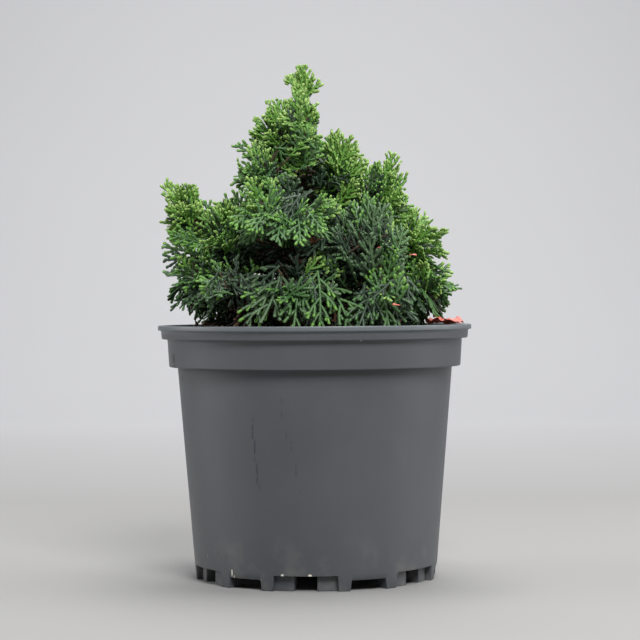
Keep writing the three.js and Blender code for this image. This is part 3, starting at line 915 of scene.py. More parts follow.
def bark_finish(name, dark, light, scale):
    made = Finish(name, 0.85)
    strips = made.noise(scale, 6.0, place=made.stretched(1.0, 1.0, 0.22))
    brown = made.mix(made.ramp(strips, 0.35, 0.68), screen_colour(*dark), screen_colour(*light))
    grey = made.ramp(made.noise(70.0, 3.0), 0.55, 0.75)
    made.colour(made.tint(brown, made.times(grey, 0.4), 126, 112, 98))
    made.relief(strips, 0.6, 0.8)
    return made.material


BARK_FINISH = bark_finish("peeling_bark", (58, 34, 24), (128, 82, 56), 520.0)
limb_paths = [trunk_path, *filter(None, BOUGHS)]
limb_radii = [trunk_radius, *[bough_radius] * (len(limb_paths) - 1)]
limb_nodes = ["trunk", *[f"bough_{name}" for name, path in zip(NAMES, BOUGHS) if path]]
limb_mesh = fill_mesh("limbs", *tubes(limb_paths, limb_radii, 18, 1.3, bark_relief))
add_piece("trunk_and_boughs", limb_mesh, BARK_FINISH, limb_nodes)

# %% [markdown]
# ## Where the sprays go
#
# A mass has six to eleven main sprays, by the size of its surface. Their ways out of the
# centre follow the golden angle, as in many real plants, which spreads them evenly without
# a visible pattern. A small seeded generator picks the foot of each spray on the stem and
# how it is rolled. A spray turns its flat face to the light, and is tried shorter until it
# keeps to its mass's space and clear of limbs and earlier sprays.

# %% Ways of the main sprays
GOLDEN = math.pi * (3 - math.sqrt(5))
# The surface for each main spray in square millimetres, and the fewest and most sprays.
SPRAY_SHARE = 700
SPRAY_COUNTS = (6, 11)


def seeded(seed):
    """A repeatable stream of numbers from 0 to 1."""
    state = seed
    while True:
        state = (state * 1664525 + 1013904223) % 4294967296
        yield state / 4294967296


def spray_ways(mass, count, lowest=-0.8):
    """Ways out of a mass, from its top down by the golden angle."""
    level = round((count - 1) / (1 - lowest))
    outward = math.atan2(CENTRES[mass][1], CENTRES[mass][0])
    k = np.arange(count)
    rise = 1 - (1 - lowest) * k / (count - 1)
    turn = outward + (k - level) * GOLDEN
    flat = np.sqrt(1 - rise ** 2)
    return np.stack([flat * np.cos(turn), flat * np.sin(turn), rise], -1)


def main_count(half):
    """How many main sprays a mass has, by its surface."""
    a, b, c = half
    mean = ((a * b) ** 1.6 + (a * c) ** 1.6 + (b * c) ** 1.6) / 3
    surface = 4 * math.pi * mean ** (1 / 1.6)
    return int(np.clip(round(surface / SPRAY_SHARE), *SPRAY_COUNTS))


def turned_about(vector, axis, angle):
    """A vector turned about an axis of length 1."""
    return (vector * math.cos(angle) + np.cross(axis, vector) * math.sin(angle)
            + axis * axis.dot(vector) * (1 - math.cos(angle)))


def face_to_light(tip, along, roll):
    """The way that a flat spray faces: out and up, square to its own length."""
    light = np.array([*unit(tip[:2]), 0.8])
    return turned_about(square_to(along, light), along, roll)


print("sprays of the first mass:", main_count(HALVES[0]))

# %% [markdown]
# A spray is kept as its foot, its tip and three directions, and any place on it is named by
# shares of its width and length. That makes the tests short: each corner of its outline has
# to be in the mass's space, and its dense part has to keep off limbs and earlier sprays.

# %% Placing the main sprays
# Tips are tried at these shares of the room that a mass has along a way.
TIP_SHARES = (1, 0.93, 0.86, 0.79)
# The least gaps between a spray and a limb, and between two sprays.
LIMB_GAP = 1
SPRAY_GAP = 2
# A spray's outline and the places of its dense part, as shares of its width and length.
OUTLINE = np.array([(0.07, 0), (0.07, 0.36), (0.5, 0.74), (0.22, 0.72), (0, 1),
                    (-0.22, 0.72), (-0.5, 0.74), (-0.07, 0.36), (-0.07, 0)])
FACE_POINTS = np.array([(across, along) for along in (0.7, 0.8, 0.9, 1)
                        for across in (-0.45, -0.3, -0.15, 0, 0.15, 0.3, 0.45)])


class Spray:
    """A flat spray: where it starts, its three directions and its size."""

    def __init__(self, mass, foot, tip, roll):
        self.foot, self.tip = foot, tip
        self.length = np.linalg.norm(tip - foot)
        self.along = (tip - foot) / self.length
        self.face = face_to_light(tip, self.along, roll)
        self.across = np.cross(self.along, self.face)
        self.width = min(1.15 * HALVES[mass].mean(), 1.35 * self.length)

    def places(self, shares):
        across, along = shares.T[..., None]
        return self.foot + self.across * across * self.width + self.along * along * self.length


def limb_cloud():
    """Points along all limbs, each with the limb's radius there."""
    points, radii = [], []
    for path, radius in zip(limb_paths, limb_radii):
        share = np.linspace(0, 1, math.ceil(path.length / 1.5) + 1)
        points.append(path.at(share))
        radii.append(radius(share))
    return np.concatenate(points), np.concatenate(radii)


LIMB_POINTS, LIMB_RADII = limb_cloud()


def spray_fits(spray, mass, placed):
    if not in_space(spray.places(OUTLINE), mass, 1.1).all():
        return False
    points = spray.places(FACE_POINTS)
    gap = np.linalg.norm(points[:, None] - LIMB_POINTS, axis=-1) - LIMB_RADII
    if gap.min() <= LIMB_GAP:
        return False
    if not placed:
        return True
    return np.linalg.norm(points[:, None] - np.concatenate(placed), axis=-1).min() > SPRAY_GAP


def main_sprays(mass):
    """The main sprays of a mass, by the same rule as the frame's."""
    random, sprays, placed = seeded(mass + 1), [], []
    for way in spray_ways(mass, main_count(HALVES[mass])):
        foot = STEMS[mass].at(0.4 + 0.6 * next(random))
        roll = math.radians(90 * (next(random) - 0.5))
        for share in TIP_SHARES:
            tip = CENTRES[mass] + HALVES[mass] * way * reach_along(mass, way) * share
            spray = Spray(mass, foot, tip, roll)
            if spray_fits(spray, mass, placed):
                sprays.append(spray)
                placed.append(spray.places(FACE_POINTS))
                break
    return sprays


MAIN_SPRAYS = [main_sprays(mass) for mass in range(len(NAMES))]
print("main sprays:", sum(map(len, MAIN_SPRAYS)))

# %% [markdown]
# ## One shoot
#
# A living shoot of this cypress is about 2 mm wide and a little over half as thick. Scales
# cover it in pairs, so its outline looks like a row of beads. Each shoot is a closed body of
# rings with four corners: two at its edges and two on the ridges of its faces. Every scale
# has a narrow ring and a wide ring, and the shoot ends in a blunt point. Shoots with the
# same number of scales share one shape, so all of them are bent and placed in one go.

# %% Shoots as beaded bodies
SCALE_LENGTH = 2.7
# Shares of a shoot's width: its thickness, its narrow rings and its last ring.
THICKNESS = 0.6
NARROW = 0.76
TIP_WIDTH = 0.72
# Shares of a scale's length: where it is widest, and how far the last ring is from the tip.
WIDE_AT = 0.66
BLUNT = 0.1


def shoot_bodies(shoots, scale_length):
    """Points, quads and triangles of shoots, from rows of numbers.

    A row holds the base, the way, the face, the length, the width, the bend to one side and
    the bend towards the face.
    """
    rows = np.asarray(shoots)
    scales = np.maximum(1, np.round(rows[:, 9] / scale_length)).astype(int)
    points, quads, triangles, start = [], [], [], 0
    for count in np.unique(scales):
        group = rows[scales == count]
        body = shoot_points(group, count)
        number, rings = body.shape[0], 2 * count + 1
        first = start + np.arange(number)[:, None, None] * (rings * 4 + 1)
        ring = np.arange(rings - 1)[:, None] * 4
        side = np.arange(4)
        after = (side + 1) % 4
        quad = np.stack([ring + side, ring + after, ring + after + 4, ring + side + 4], -1)
        quads.append((first[..., None] + quad).reshape(-1, 4))
        quads.append((first[:, 0] + side[::-1]).reshape(-1, 4))
        apex = np.full(4, rings * 4)
        last = (rings - 1) * 4
        triangles.append((first + np.stack([last + side, last + after, apex], -1)).reshape(-1, 3))
        points.append(body.reshape(-1, 3))
        start += body.shape[0] * body.shape[1]
    return np.concatenate(points), np.concatenate(quads), np.concatenate(triangles)


def shoot_points(group, count):
    """The points of shoots that have the same number of scales, tip last."""
    base, way, face = group[:, 0:3], group[:, 3:6], group[:, 6:9]
    length, width, bend, lift = group[:, 9], group[:, 10], group[:, 11], group[:, 12]
    steps = np.arange(count)
    rows = np.stack([steps, steps + WIDE_AT], -1).ravel()
    share = np.concatenate([rows, [count - BLUNT, count]]) / count
    plump = np.concatenate([np.tile([NARROW, 1.0], count), [TIP_WIDTH, 0.0]])
    plump = plump * (0.92 + 0.1 * share)
    cross = unit(np.cross(face, way))
    turning = cross * bend[:, None] + face * lift[:, None]
    travel = length[:, None] * share
    centre = (base[:, None] + way[:, None] * travel[..., None]
              + turning[:, None] * (travel * share / 2)[..., None])
    along = unit(way[:, None] + turning[:, None] * share[:, None])
    side = unit(cross[:, None] - along * (cross[:, None] * along).sum(-1, keepdims=True))
    up = np.cross(along, side)
    half = (width[:, None] * plump / 2)[..., None]
    corners = np.stack([side * half, up * half * THICKNESS, -side * half, -up * half * THICKNESS], 2)
    rings = (centre[:, :-1, None] + corners[:, :-1]).reshape(len(group), -1, 3)
    return np.concatenate([rings, centre[:, -1:]], 1)


ONE_SHOOT = (0, 0, 0, 0, 0, 1, 0, -1, 0, 8, 2, 0, 0)
print("points of a straight shoot of 8 mm:", len(shoot_bodies([ONE_SHOOT], SCALE_LENGTH)[0]))

# %% [markdown]
# ## One fan
#
# A fan is a midrib with side shoots that leave it in turn on the left and the right, and
# the longer side shoots carry short ones of their own. All of them lie in one plane that is
# slightly cupped, like a shell. Side shoots are longest a quarter of the way up, and curve
# forwards. The last few millimetres of a shoot are this season's growth and lighter, so a
# long shoot is made of two bodies, and the younger one is rooted in the older one.

# %% Shoots of a fan
# Shoots low on the plant are older and stouter than those near its top.
WIDTH_HEIGHTS = (150, 200, 260)
SHOOT_WIDTHS = (2.4, 2.15, 2.0)
# How long the younger part of a shoot is, and how far it is rooted in the older one.
YOUNG_LENGTHS = (2.2, 4.2)
ROOTED = 0.5
SHOOTS = {tone: [] for tone in ("young", "fresh", "mid", "cool", "deep", "dead")}


def add_shoot(rng, base, way, face, length, bend, lift, tones):
    """Adds one shoot, or an older part and a younger tip where the tones differ."""
    width = rng.uniform(0.88, 1.1) * np.interp(base[2], WIDTH_HEIGHTS, SHOOT_WIDTHS)
    older, younger = tones
    young = rng.uniform(*YOUNG_LENGTHS)
    if older == younger or length < young + 1.2:
        SHOOTS[younger].append((*base, *way, *face, length, width, bend, lift))
        return
    part = length - young
    bends = (bend * part / length, lift * part / length)
    SHOOTS[older].append((*base, *way, *face, part + ROOTED, width, *bends))
    turning = np.cross(face, way) * bend + face * lift
    tip_base = base + way * part + turning * part * part / (2 * length)
    tip_way = unit(way + turning * part / length)
    tip_face = square_to(tip_way, face)
    bends = (bend * young / length, lift * young / length)
    SHOOTS[younger].append((*tip_base, *tip_way, *tip_face, young, width, *bends))


print("tones:", ", ".join(SHOOTS))

# %% [markdown]
# Chance varies each length, angle and bend a little, as no two shoots are the same. A side
# shoot carries short shoots only where it is long enough for them.

# %% Fans of shoots
# Steps between the side shoots of a midrib and between the short shoots of a side shoot.
SIDE_STEP = 2.75
SHORT_STEP = 3.9
SHORTEST_SIDE = 2.6
SHORTEST = 2.3
# Degrees between a side shoot and the midrib at its foot, and how much less at its tip.
SIDE_ANGLE = 50
ANGLE_LOSS = 16


def add_short_shoots(rng, side, spot, way, face, reach, bend, lift, tones, sparse):
    """Adds the short shoots of one side shoot, in turn to its left and right."""
    turning = np.cross(face, way) * bend + face * lift
    for part in np.arange(rng.uniform(3.6, 5.2) * sparse, reach - 3.2 * sparse, SHORT_STEP * sparse):
        side = -side
        stem = spot + way * part + turning * part * part / (2 * reach)
        fore = unit(way + turning * part / reach)
        outward = np.cross(face, fore)
        angle = math.radians(rng.uniform(34, 46))
        small = max(SHORTEST, (reach - part) * rng.uniform(0.5, 0.8))
        small_way = unit(fore * math.cos(angle) + outward * side * math.sin(angle))
        small_face = square_to(small_way, face)
        add_shoot(rng, stem, small_way, small_face, small, -side * 0.3, lift, tones)


def add_fan(rng, base, way, face, length, half_width, cup, tones, sparse=1.0):
    """Adds the shoots of one fan."""
    sway = rng.uniform(-0.25, 0.25)
    turning = face * cup + np.cross(face, way) * sway
    add_shoot(rng, base, way, face, length, sway, cup, tones)
    side = rng.choice((-1, 1))
    for travel in np.arange(rng.uniform(1.5, 3), length - 1.2, SIDE_STEP * sparse):
        side = -side
        share = travel / length
        spot = base + way * travel + turning * travel * share / 2
        along = unit(way + turning * share)
        normal = square_to(along, face)
        out = np.cross(normal, along)
        angle = math.radians(SIDE_ANGLE - ANGLE_LOSS * share + rng.uniform(-5, 5))
        reach = half_width / 0.66 * min(1, 0.6 + 1.6 * share) * (1 - share) ** 0.5
        reach = max(SHORTEST_SIDE, reach * rng.uniform(0.8, 1.12))
        side_way = along * math.cos(angle) + out * side * math.sin(angle)
        side_way = unit(side_way + normal * rng.uniform(-0.1, 0.2))
        side_face = square_to(side_way, normal)
        bend = -side * rng.uniform(0.25, 0.55)
        lift = rng.uniform(-0.3, 0.15)
        add_shoot(rng, spot, side_way, side_face, reach, bend, lift, tones)
        add_short_shoots(rng, side, spot, side_way, side_face, reach, bend, lift, tones, sparse)


# %% [markdown]
# ## Tones
#
# Where a fan sits decides its colour. Young tips are yellow-green, the oldest growth, inside,
# is almost black-green, and where no light comes at all, fans die and turn brown. A real
# grower reads a plant in the same way. The tones are also lit and shaded copies of one
# green, so part of each fan's colour is painted light and shade: fans on the outside that
# catch the light get fresh green tones, and shaded ones darker and bluish tones. The score
# below adds brightness of the mass, height of the way and how far out the fan is, with a
# little chance.

# %% Choosing tones
# Scores above which a fan is fresh, in between, or dull. Below the last it is shaded.
FRESH_SCORE = 0.86
MIDDLE_SCORE = 0.6
DULL_SCORE = 0.36


def fan_tones(rng, mass, way_up, out_share):
    """The older and the younger tone of a fan."""
    bright, cool = MASSES[NAMES[mass]][3:]
    # Fans that point up, lie far out or sit in a brighter mass get lighter tones: partly painted light.
    score = bright + 0.3 * way_up + 1.1 * (out_share - 0.9) + rng.normal(0, 0.09)
    bluish = rng.uniform() < cool
    if score > FRESH_SCORE:
        return ("fresh", "young")
    if score > MIDDLE_SCORE:
        return ("cool", "fresh") if bluish else ("mid", "young" if rng.uniform() < 0.35 else "fresh")
    if score > DULL_SCORE:
        return ("cool", "cool") if bluish else ("mid", "mid" if rng.uniform() < 0.5 else "fresh")
    return ("deep", "cool") if bluish else ("deep", "mid")


PAINTED_BRIGHTNESS = {name: values[3] for name, values in MASSES.items()}
print("brightest mass:", max(PAINTED_BRIGHTNESS, key=PAINTED_BRIGHTNESS.get), "dullest:", min(PAINTED_BRIGHTNESS, key=PAINTED_BRIGHTNESS.get))

# %% [markdown]
# ## Growing the crown
#
# Every main spray of the frame is carried on to three fans here: one along its middle and
# one to each side, as the blade's outline has it. Low masses droop over the lip under their
# own weight and set their shoots further apart, and high ones lift towards the light. Deep
# hollows lie between the tiers of the crown. Little light gets there, so a spray that ends
# in a hollow has one dark fan only, and its dark tones are painted shade.

# %% Main sprays carried on
TWIGS = []
FAN_SHARE = 0.66
# How openly the fans of some low masses are set with shoots.
OPEN = {
    "front_low": 1.25, "left_front": 1.2, "front_right_low": 1.2, "left_lower": 1.1, "back_low": 1.2,
}
# Heights of masses, and how their fans are cupped: below 0 they hang over.
DROOP_HEIGHTS = (165, 200, 240, 290)
DROOPS = (-0.55, -0.2, -0.02, 0.1)
# Hollows between the tiers, where fans get dark tones as painted shade: centre and half-sizes.
RECESSES = np.array([
    ((-24, -70, 194), (21, 34, 15)),
    ((-46, -66, 193), (12, 24, 9)),
    ((-12, -44, 234), (15, 32, 9)),
    ((-15, -72, 227), (9, 18, 9)),
    ((9, -48, 236), (12, 22, 7)),
    ((-15, -32, 251), (14, 26, 11)),
    ((59, -46, 170), (12, 30, 13)),
    ((19, -68, 179), (13, 28, 8)),
    ((-52, -62, 158), (24, 34, 10)),
], float)


def openness(mass):
    return OPEN.get(NAMES[mass], 1)


def droop_of(mass):
    """How the fans of a mass are cupped: low ones hang over, high ones rise."""
    return float(np.interp(CENTRES[mass][2], DROOP_HEIGHTS, DROOPS))


def add_twig(foot, end, thick=0.85, thin=0.5):
    """Adds a slightly sagging twig, with its radius at either end."""
    middle = (foot + end) / 2 - (0, 0, 0.08 * np.linalg.norm(end - foot))
    TWIGS.append((arch(foot, middle, end, 3), thick, thin))


def in_recess(point):
    return (np.linalg.norm((point - RECESSES[:, 0]) / RECESSES[:, 1], axis=1) < 1).any()


def shaded_tones(rng):
    """Dark tones of a fan in a hollow: painted shade where little light comes."""
    return ("deep", "cool") if rng.uniform() < 0.25 else ("deep", "deep")


def carry_on(rng, mass, spray):
    """Grows a main spray on: a twig, a fan along its middle and a fan to each side."""
    fork = spray.foot + spray.along * spray.length * (1 - FAN_SHARE)
    add_twig(spray.foot, fork + spray.along * 2)
    up = spray.along[2]
    droop = droop_of(mass)
    shaded = in_recess(spray.tip)
    tones = shaded_tones(rng) if shaded else fan_tones(rng, mass, up, 1)
    half = 0.27 * spray.width
    reach = spray.length * FAN_SHARE
    cup = droop + rng.uniform(-0.1, 0.1)
    add_fan(rng, fork, spray.along, spray.face, reach, half, cup, tones, openness(mass))
    for side in (-1, 1):
        corner = spray.places(np.array([(side * 0.43, rng.uniform(0.76, 0.9))]))[0]
        way = unit(corner - fork)
        face = square_to(way, spray.face)
        face = turned_about(face, way, side * rng.uniform(0.1, 0.6))
        away = np.linalg.norm(corner - fork)
        cup = droop + rng.uniform(-0.15, 0.1)
        if not in_recess(corner):
            tones = fan_tones(rng, mass, up, 0.97)
            add_fan(rng, fork + way, way, face, away, half, cup, tones, openness(mass))


print("hollows:", len(RECESSES), "masses with open fans:", len(OPEN))

# %% [markdown]
# Finer ways by the same golden angle fill the gaps between the main sprays, and shorter dark
# fans close the inside. A fan on the front or the back of the crown would point straight at
# the onlooker and hide its own shape. On the real plant such fans turn aside and lie over
# the surface, so the way of each fan is flattened, by how squarely its mass faces forwards.
# A twig holds every fan that starts away from a limb.

# %% Fans between the main sprays
def depth_in_crown(points):
    """How deep points lie: 0 at the crown's surface, 1 at the centre of a mass."""
    share = np.linalg.norm((np.atleast_2d(points)[:, None] - CENTRES) / HALVES, axis=-1)
    return 1 - share.min(axis=1)


# The way that single fans turn their faces to.
FRONT = np.array([0.15, -1, 0.35])
# Points of limbs and stems, which a twig may start from.
SKELETON = np.concatenate([path.at(np.linspace(0.1, 1, 30)) for path in [*limb_paths, *STEMS]])
# Heights, and how steeply fans grow there, with what some masses add to it.
RISE_HEIGHTS = (150, 175, 200, 300)
RISES = (-0.8, -0.25, 0.3, 0.6)
LEAN = {
    "front_right": 0.9, "dome": 0.5, "shoulder": 0.5, "left_tip": 0.3, "crown_tip": 0.5, "cloud": -0.1,
}
# Up to how deep a fan may lie in the crown, and how openly the dark inner fans are set.
DEEPEST = 1.22
INNER_SPARSE = 1.45
# Inner growth that is lower than this, and further to the left, is mostly dead.
DEAD_HEIGHT = 168
DEAD_SIDE = -20
# How squarely each mass faces the front or the back, from 0 to 1.
FACING = np.abs(CENTRES[:, 1]) / np.hypot(CENTRES[:, 0] + 5, CENTRES[:, 1])


def free_fan(rng, mass, way, share, length, inner):
    """Adds a fan with its tip at a share of the mass's reach along a way."""
    tip = CENTRES[mass] + HALVES[mass] * way * share
    depth = depth_in_crown(tip)[0]
    if not inner and (depth > DEEPEST - share or in_recess(tip)):
        return
    radial = unit(way / HALVES[mass])
    outward = np.array([*unit(tip[:2]), 0])
    rise = np.interp(tip[2], RISE_HEIGHTS, RISES) + LEAN.get(NAMES[mass], 0)
    along = 0.75 * radial + 0.45 * outward * (1 - FACING[mass]) + (0, 0, rise) + rng.normal(0, 0.16, 3)
    away = unit(np.array([*CENTRES[mass][:2], 0]))
    along = unit(along - 0.6 * FACING[mass] * max(0, along.dot(away)) * away)
    tones = fan_tones(rng, mass, along[2], share)
    if inner:
        tones = ("deep", "deep")
        if tip[2] < DEAD_HEIGHT and tip[0] < DEAD_SIDE and rng.uniform() < 0.6:
            tones = ("dead", "dead")
    sparse = INNER_SPARSE if inner else openness(mass)
    single_fan(rng, mass, tip, along, rng.uniform(*length), tones, sparse)


def single_fan(rng, mass, tip, along, reach, tones, sparse=1.0, front=False):
    """Adds a fan with its tip at a point, and a twig to it from the nearest limb or stem."""
    base = tip - along * reach
    nearest = SKELETON[np.linalg.norm(SKELETON - base, axis=1).argmin()]
    if np.linalg.norm(nearest - base) > 4:
        add_twig(nearest, base + along * 2, 0.7, 0.45)
    face = face_to_light(tip, along, math.radians(rng.uniform(-60, 60)))
    if front:
        face = square_to(along, FRONT)
    cup = droop_of(mass) + rng.uniform(-0.2, 0.15)
    add_fan(rng, base, along, face, reach, 0.42 * reach, cup, tones, sparse)


def fill_in(rng, mass, count, shares, length, inner=False):
    """Adds fans along finer ways of a mass, all round it."""
    ways = spray_ways(mass, count, lowest=-1)
    turn = rng.uniform(0, 2 * math.pi)
    cosine, sine = math.cos(turn), math.sin(turn)
    spin = np.array([[cosine, -sine, 0], [sine, cosine, 0], [0, 0, 1]])
    for way in ways @ spin.T:
        free_fan(rng, mass, unit(way + rng.normal(0, 0.1, 3)), rng.uniform(*shares), length, inner)


print("points that twigs may start from:", len(SKELETON))

# %% [markdown]
# Each mass has its own stream of chance, so a change to one leaves the others as they are.
# Where single fans should show, as at the tip and low at the front, a mass is filled less
# thickly.

# %% Growing every mass
# How thickly some masses are filled, and how many fans go with each main spray.
DENSITY = {
    "crown_tip": 0.35, "leader_left": 0.9, "front_low": 0.34, "left_front": 0.6, "front_right_low": 0.5,
}
OUTER_FANS = 3.7
INNER_FANS = 2.2
for mass in range(len(NAMES)):
    rng = np.random.default_rng(100 + mass)
    for spray in MAIN_SPRAYS[mass]:
        carry_on(rng, mass, spray)
    surface = main_count(HALVES[mass]) * DENSITY.get(NAMES[mass], 1)
    fill_in(rng, mass, round(OUTER_FANS * surface), (0.86, 1.02), (17, 25))
    fill_in(rng, mass, round(INNER_FANS * surface), (0.42, 0.78), (14, 20), inner=True)
print("shoots:", {tone: len(rows) for tone, rows in SHOOTS.items()}, "twigs:", len(TWIGS))

# %% [markdown]
# Between the masses, close to the trunk, the crown is a thicket of old shaded sprays, dead
# near the compost, which is why nobody can see through such a plant. Here it is a cloud of
# dark fans at random places in a cone around the trunk.

# %% The thicket
THICKET_FANS = 640
THICKET_SPARSE = 1.5
# From and to height of its three tiers, and how wide the cone is at some heights.
TIERS = ((147, 160), (160, 215), (160, 262))
CONE_HEIGHTS = (147, 160, 180, 210, 240, 262)
CONE_RADII = (78, 72, 66, 52, 30, 12)


def thicket(rng, count):
    """Adds old fans at random places around the trunk, under the living growth."""
    for number in range(count):
        height = rng.uniform(*TIERS[number % len(TIERS)])
        widest = np.interp(height, CONE_HEIGHTS, CONE_RADII)
        turn = rng.uniform(0, 2 * math.pi)
        away = widest * math.sqrt(rng.uniform(0.08, 1))
        tip = np.array([away * math.cos(turn) - 4, away * math.sin(turn), height])
        outward = np.array([math.cos(turn), math.sin(turn), rng.uniform(-0.5, 0.8)])
        along = unit(outward + rng.normal(0, 0.3, 3))
        dead = rng.uniform() < np.interp(height, (150, 190), (0.6 if tip[0] < -15 else 0.25, 0.03))
        tone = "dead" if dead else "deep"
        single_fan(rng, 0, tip, along, rng.uniform(13, 20), (tone, tone), THICKET_SPARSE)


rng = np.random.default_rng(77)
thicket(rng, THICKET_FANS)
print("twigs with the thicket's:", len(TWIGS))

# %% [markdown]
# Some single fans stand out of their mass and give this plant its own outline: the leaning
# tip with its two arms, the horn on the left, the fingers over the lip and the bright edge
# of the tier above them. A rule can't know them, so each is given one by one, from its base
# to its tip, and turned to the front.

# %% Single fans
SINGLE_FANS = [
    ("crown_tip", (-8, -1, 284), (-6.5, -1, 311)),
    ("crown_tip", (-5, -3, 292), (-18.5, -3, 302.5)),
    ("crown_tip", (-6, -2, 289), (3.8, -2, 301.5)),
    ("crown_tip", (-9, -3, 280), (-11, -6, 299)),
    ("leader_left", (-17, -5, 273), (-24, -6, 291.5)),
    ("leader_left", (-20, -6, 266), (-37, -8, 277)),
    ("leader_left", (-31, -8, 255), (-48, -10, 260)),
    ("leader_skirt", (-34, -14, 240), (-49, -15, 239)),
    ("left_tip", (-80, -4, 218), (-92, -6, 239)),
    ("left_tip", (-76, -4, 214), (-80, -6, 233)),
    ("left_tip", (-78, -2, 210), (-93, -3, 224)),
    ("left_lower", (-70, -10, 196), (-91, -14, 202)),
    ("left_lower", (-70, 2, 194), (-93, 3, 193)),
    ("left_middle", (-66, -12, 202), (-86, -24, 208)),
    ("left_middle", (-68, 6, 204), (-90, 10, 208)),
    ("left_lower", (-72, -16, 184), (-90, -20, 183)),
    ("left_lower", (-72, -8, 178), (-91, -10, 174)),
    ("left_lower", (-58, -12, 185), (-74, -17, 200)),
    ("left_lower", (-58, 6, 185), (-77, 8, 198)),
    ("left_lower", (-62, -2, 182), (-83, -4, 190)),
    ("left_middle", (-62, -4, 209), (-71, -6, 226)),
    ("left_tip", (-77, -4, 214), (-73, -6, 231.5)),
    ("left_middle", (-61, -2, 210), (-66, -4, 229)),
    ("left_middle", (-54, -6, 208), (-60, -8, 225)),
    ("left_middle", (-50, -8, 206), (-51, -12, 222)),
    ("dome", (12, -6, 246), (16, -9, 268)),
    ("dome", (12, -6, 240), (22.5, -10, 265)),
    ("dome", (12, -6, 234), (29, -12, 252)),
    ("dome", (12, -8, 222), (26, -16, 238)),
    ("shoulder", (45, -2, 237), (48.5, -3, 257)),
    ("shoulder", (42, -4, 226), (59, -8, 241)),
    ("shoulder", (42, -6, 216), (58, -12, 228)),
    ("right_lower", (62, -4, 181), (82, -6, 187)),
    ("front_low", (-23, -61, 177), (-39, -83, 157)),
    ("front_low", (-19, -64, 184), (-25, -87, 158)),
    ("front_low", (-9, -66, 178), (-10, -88, 156)),
    ("front_low", (2, -65, 185), (7, -87, 158)),
    ("front_low", (9, -61, 176), (23, -82, 158)),
    ("front_right_low", (34, -58, 178), (30, -84, 157)),
    ("front_right_low", (38, -58, 178), (44, -78, 158)),
    ("cloud", (-34, -58, 221), (-45, -73, 212)),
    ("cloud", (-27, -66, 219), (-34, -83, 208)),
    ("cloud", (-18, -69, 216), (-21, -86, 202)),
    ("cloud", (-9, -69, 216), (-7, -86, 201)),
    ("cloud", (-3, -66, 219), (4, -82, 208)),
    ("cloud", (-32, -56, 224), (-35, -66, 238)),
    ("cloud", (0, -60, 220), (6, -74, 226)),
]
# How far out fans at the lit edge of a tier count, in the score for tones. The lighter tones this gives
# are painted light.
LIT = {"cloud": 1.3, "front_low": 1.2, "front_right_low": 1.08}
for name, base, tip in SINGLE_FANS:
    mass = NAMES.index(name)
    base, tip = np.array(base, float), np.array(tip, float)
    reach = np.linalg.norm(tip - base)
    along = (tip - base) / reach
    tones = fan_tones(rng, mass, along[2], LIT.get(name, 1.0))
    single_fan(rng, mass, tip, along, reach, tones, 1.2 * OPEN.get(name, 0.83), front=True)
print("single fans:", len(SINGLE_FANS))

# %% [markdown]
# ## Colours of the shoots
#
# Six leaf finishes share one recipe and differ in two colours each. A shoot has a thin wax
# layer, which gives it a soft sheen, so its roughness is middling. Wide noise makes some
# sprays a little lighter than others, and fine noise does the same for single scales.

# %% Leaf finishes
LEAF_COLOURS = {
    "young": ((112, 150, 64), (146, 178, 96)),
    "fresh": ((76, 124, 44), (106, 150, 64)),
    "mid": ((54, 92, 46), (78, 114, 62)),
    "cool": ((56, 84, 52), (84, 110, 74)),
    "deep": ((38, 56, 40), (54, 76, 54)),
    "dead": ((48, 33, 25), (80, 56, 42)),
}


def leaf_finish(tone):
    dark, light = (screen_colour(*colour) for colour in LEAF_COLOURS[tone])
    made = Finish(f"scales_{tone}", 0.5)
    patch = made.ramp(made.noise(60.0, 3.0), 0.3, 0.7)
    green = made.mix(patch, dark, light)
    scale = made.ramp(made.noise(900.0, 2.0), 0.35, 0.7)
    made.colour(made.mix(made.times(scale, 0.3), green, light))
    made.relief(made.noise(1500.0, 2.0), 0.15, 0.5)
    return made.material


print("leaf colours:", len(LEAF_COLOURS))

# %% [markdown]
# The shoots of each tone are joined into as few meshes as stay under 200,000 triangles, as
# very large meshes are slow to handle. Shoots that would touch the pot's lip, sink into the
# compost or pass the pot's outline are left out first, and so are shoots in the notches of
# the crown's outline.

# %% Leaving shoots out
LOWEST = SOIL_LEVEL + 1
HIGHEST = 311
WIDEST = LIP_RADIUS - 0.8
# Off the lip means within this radius or above this height.
INSIDE_LIP = 85.9
OVER_LIP = 154.2
# Notches of the outline, seen from the front: from and to along X, then Z.
NOTCHES = [
    ((4, 40), (273, 292)), ((-60, -37), (271, 290)), ((-32, -13), (291.5, 298.5)),
    ((-60, -45.5), (242, 250)), ((-85, -60), (239.5, 260)), ((-70, -56), (230, 260)),
    ((-96, -90.5), (217, 231)), ((-96, -88.5), (160, 178)), ((57.5, 80), (225, 250)),
    ((83, 96), (158, 172)), ((-32, -11), (306, 312)), ((-2.5, 12), (287, 293)),
    ((2.5, 8.5), (268.5, 274)), ((-36, -29), (281, 290)), ((-60, -39.5), (265.5, 271)),
    ((-60, -46.5), (250, 256)), ((-96, -83), (177, 183)), ((38, 43.5), (253, 262)),
    ((72, 90), (213, 225)), ((78.5, 90), (199, 206)),
]


def in_notch(points):
    """Which points lie where the outline turns in."""
    inside = np.zeros(len(points), bool)
    for (x0, x1), (z0, z1) in NOTCHES:
        x, z = points[:, 0], points[:, 2]
        inside |= (x > x0) & (x < x1) & (z > z0) & (z < z1)
    return inside


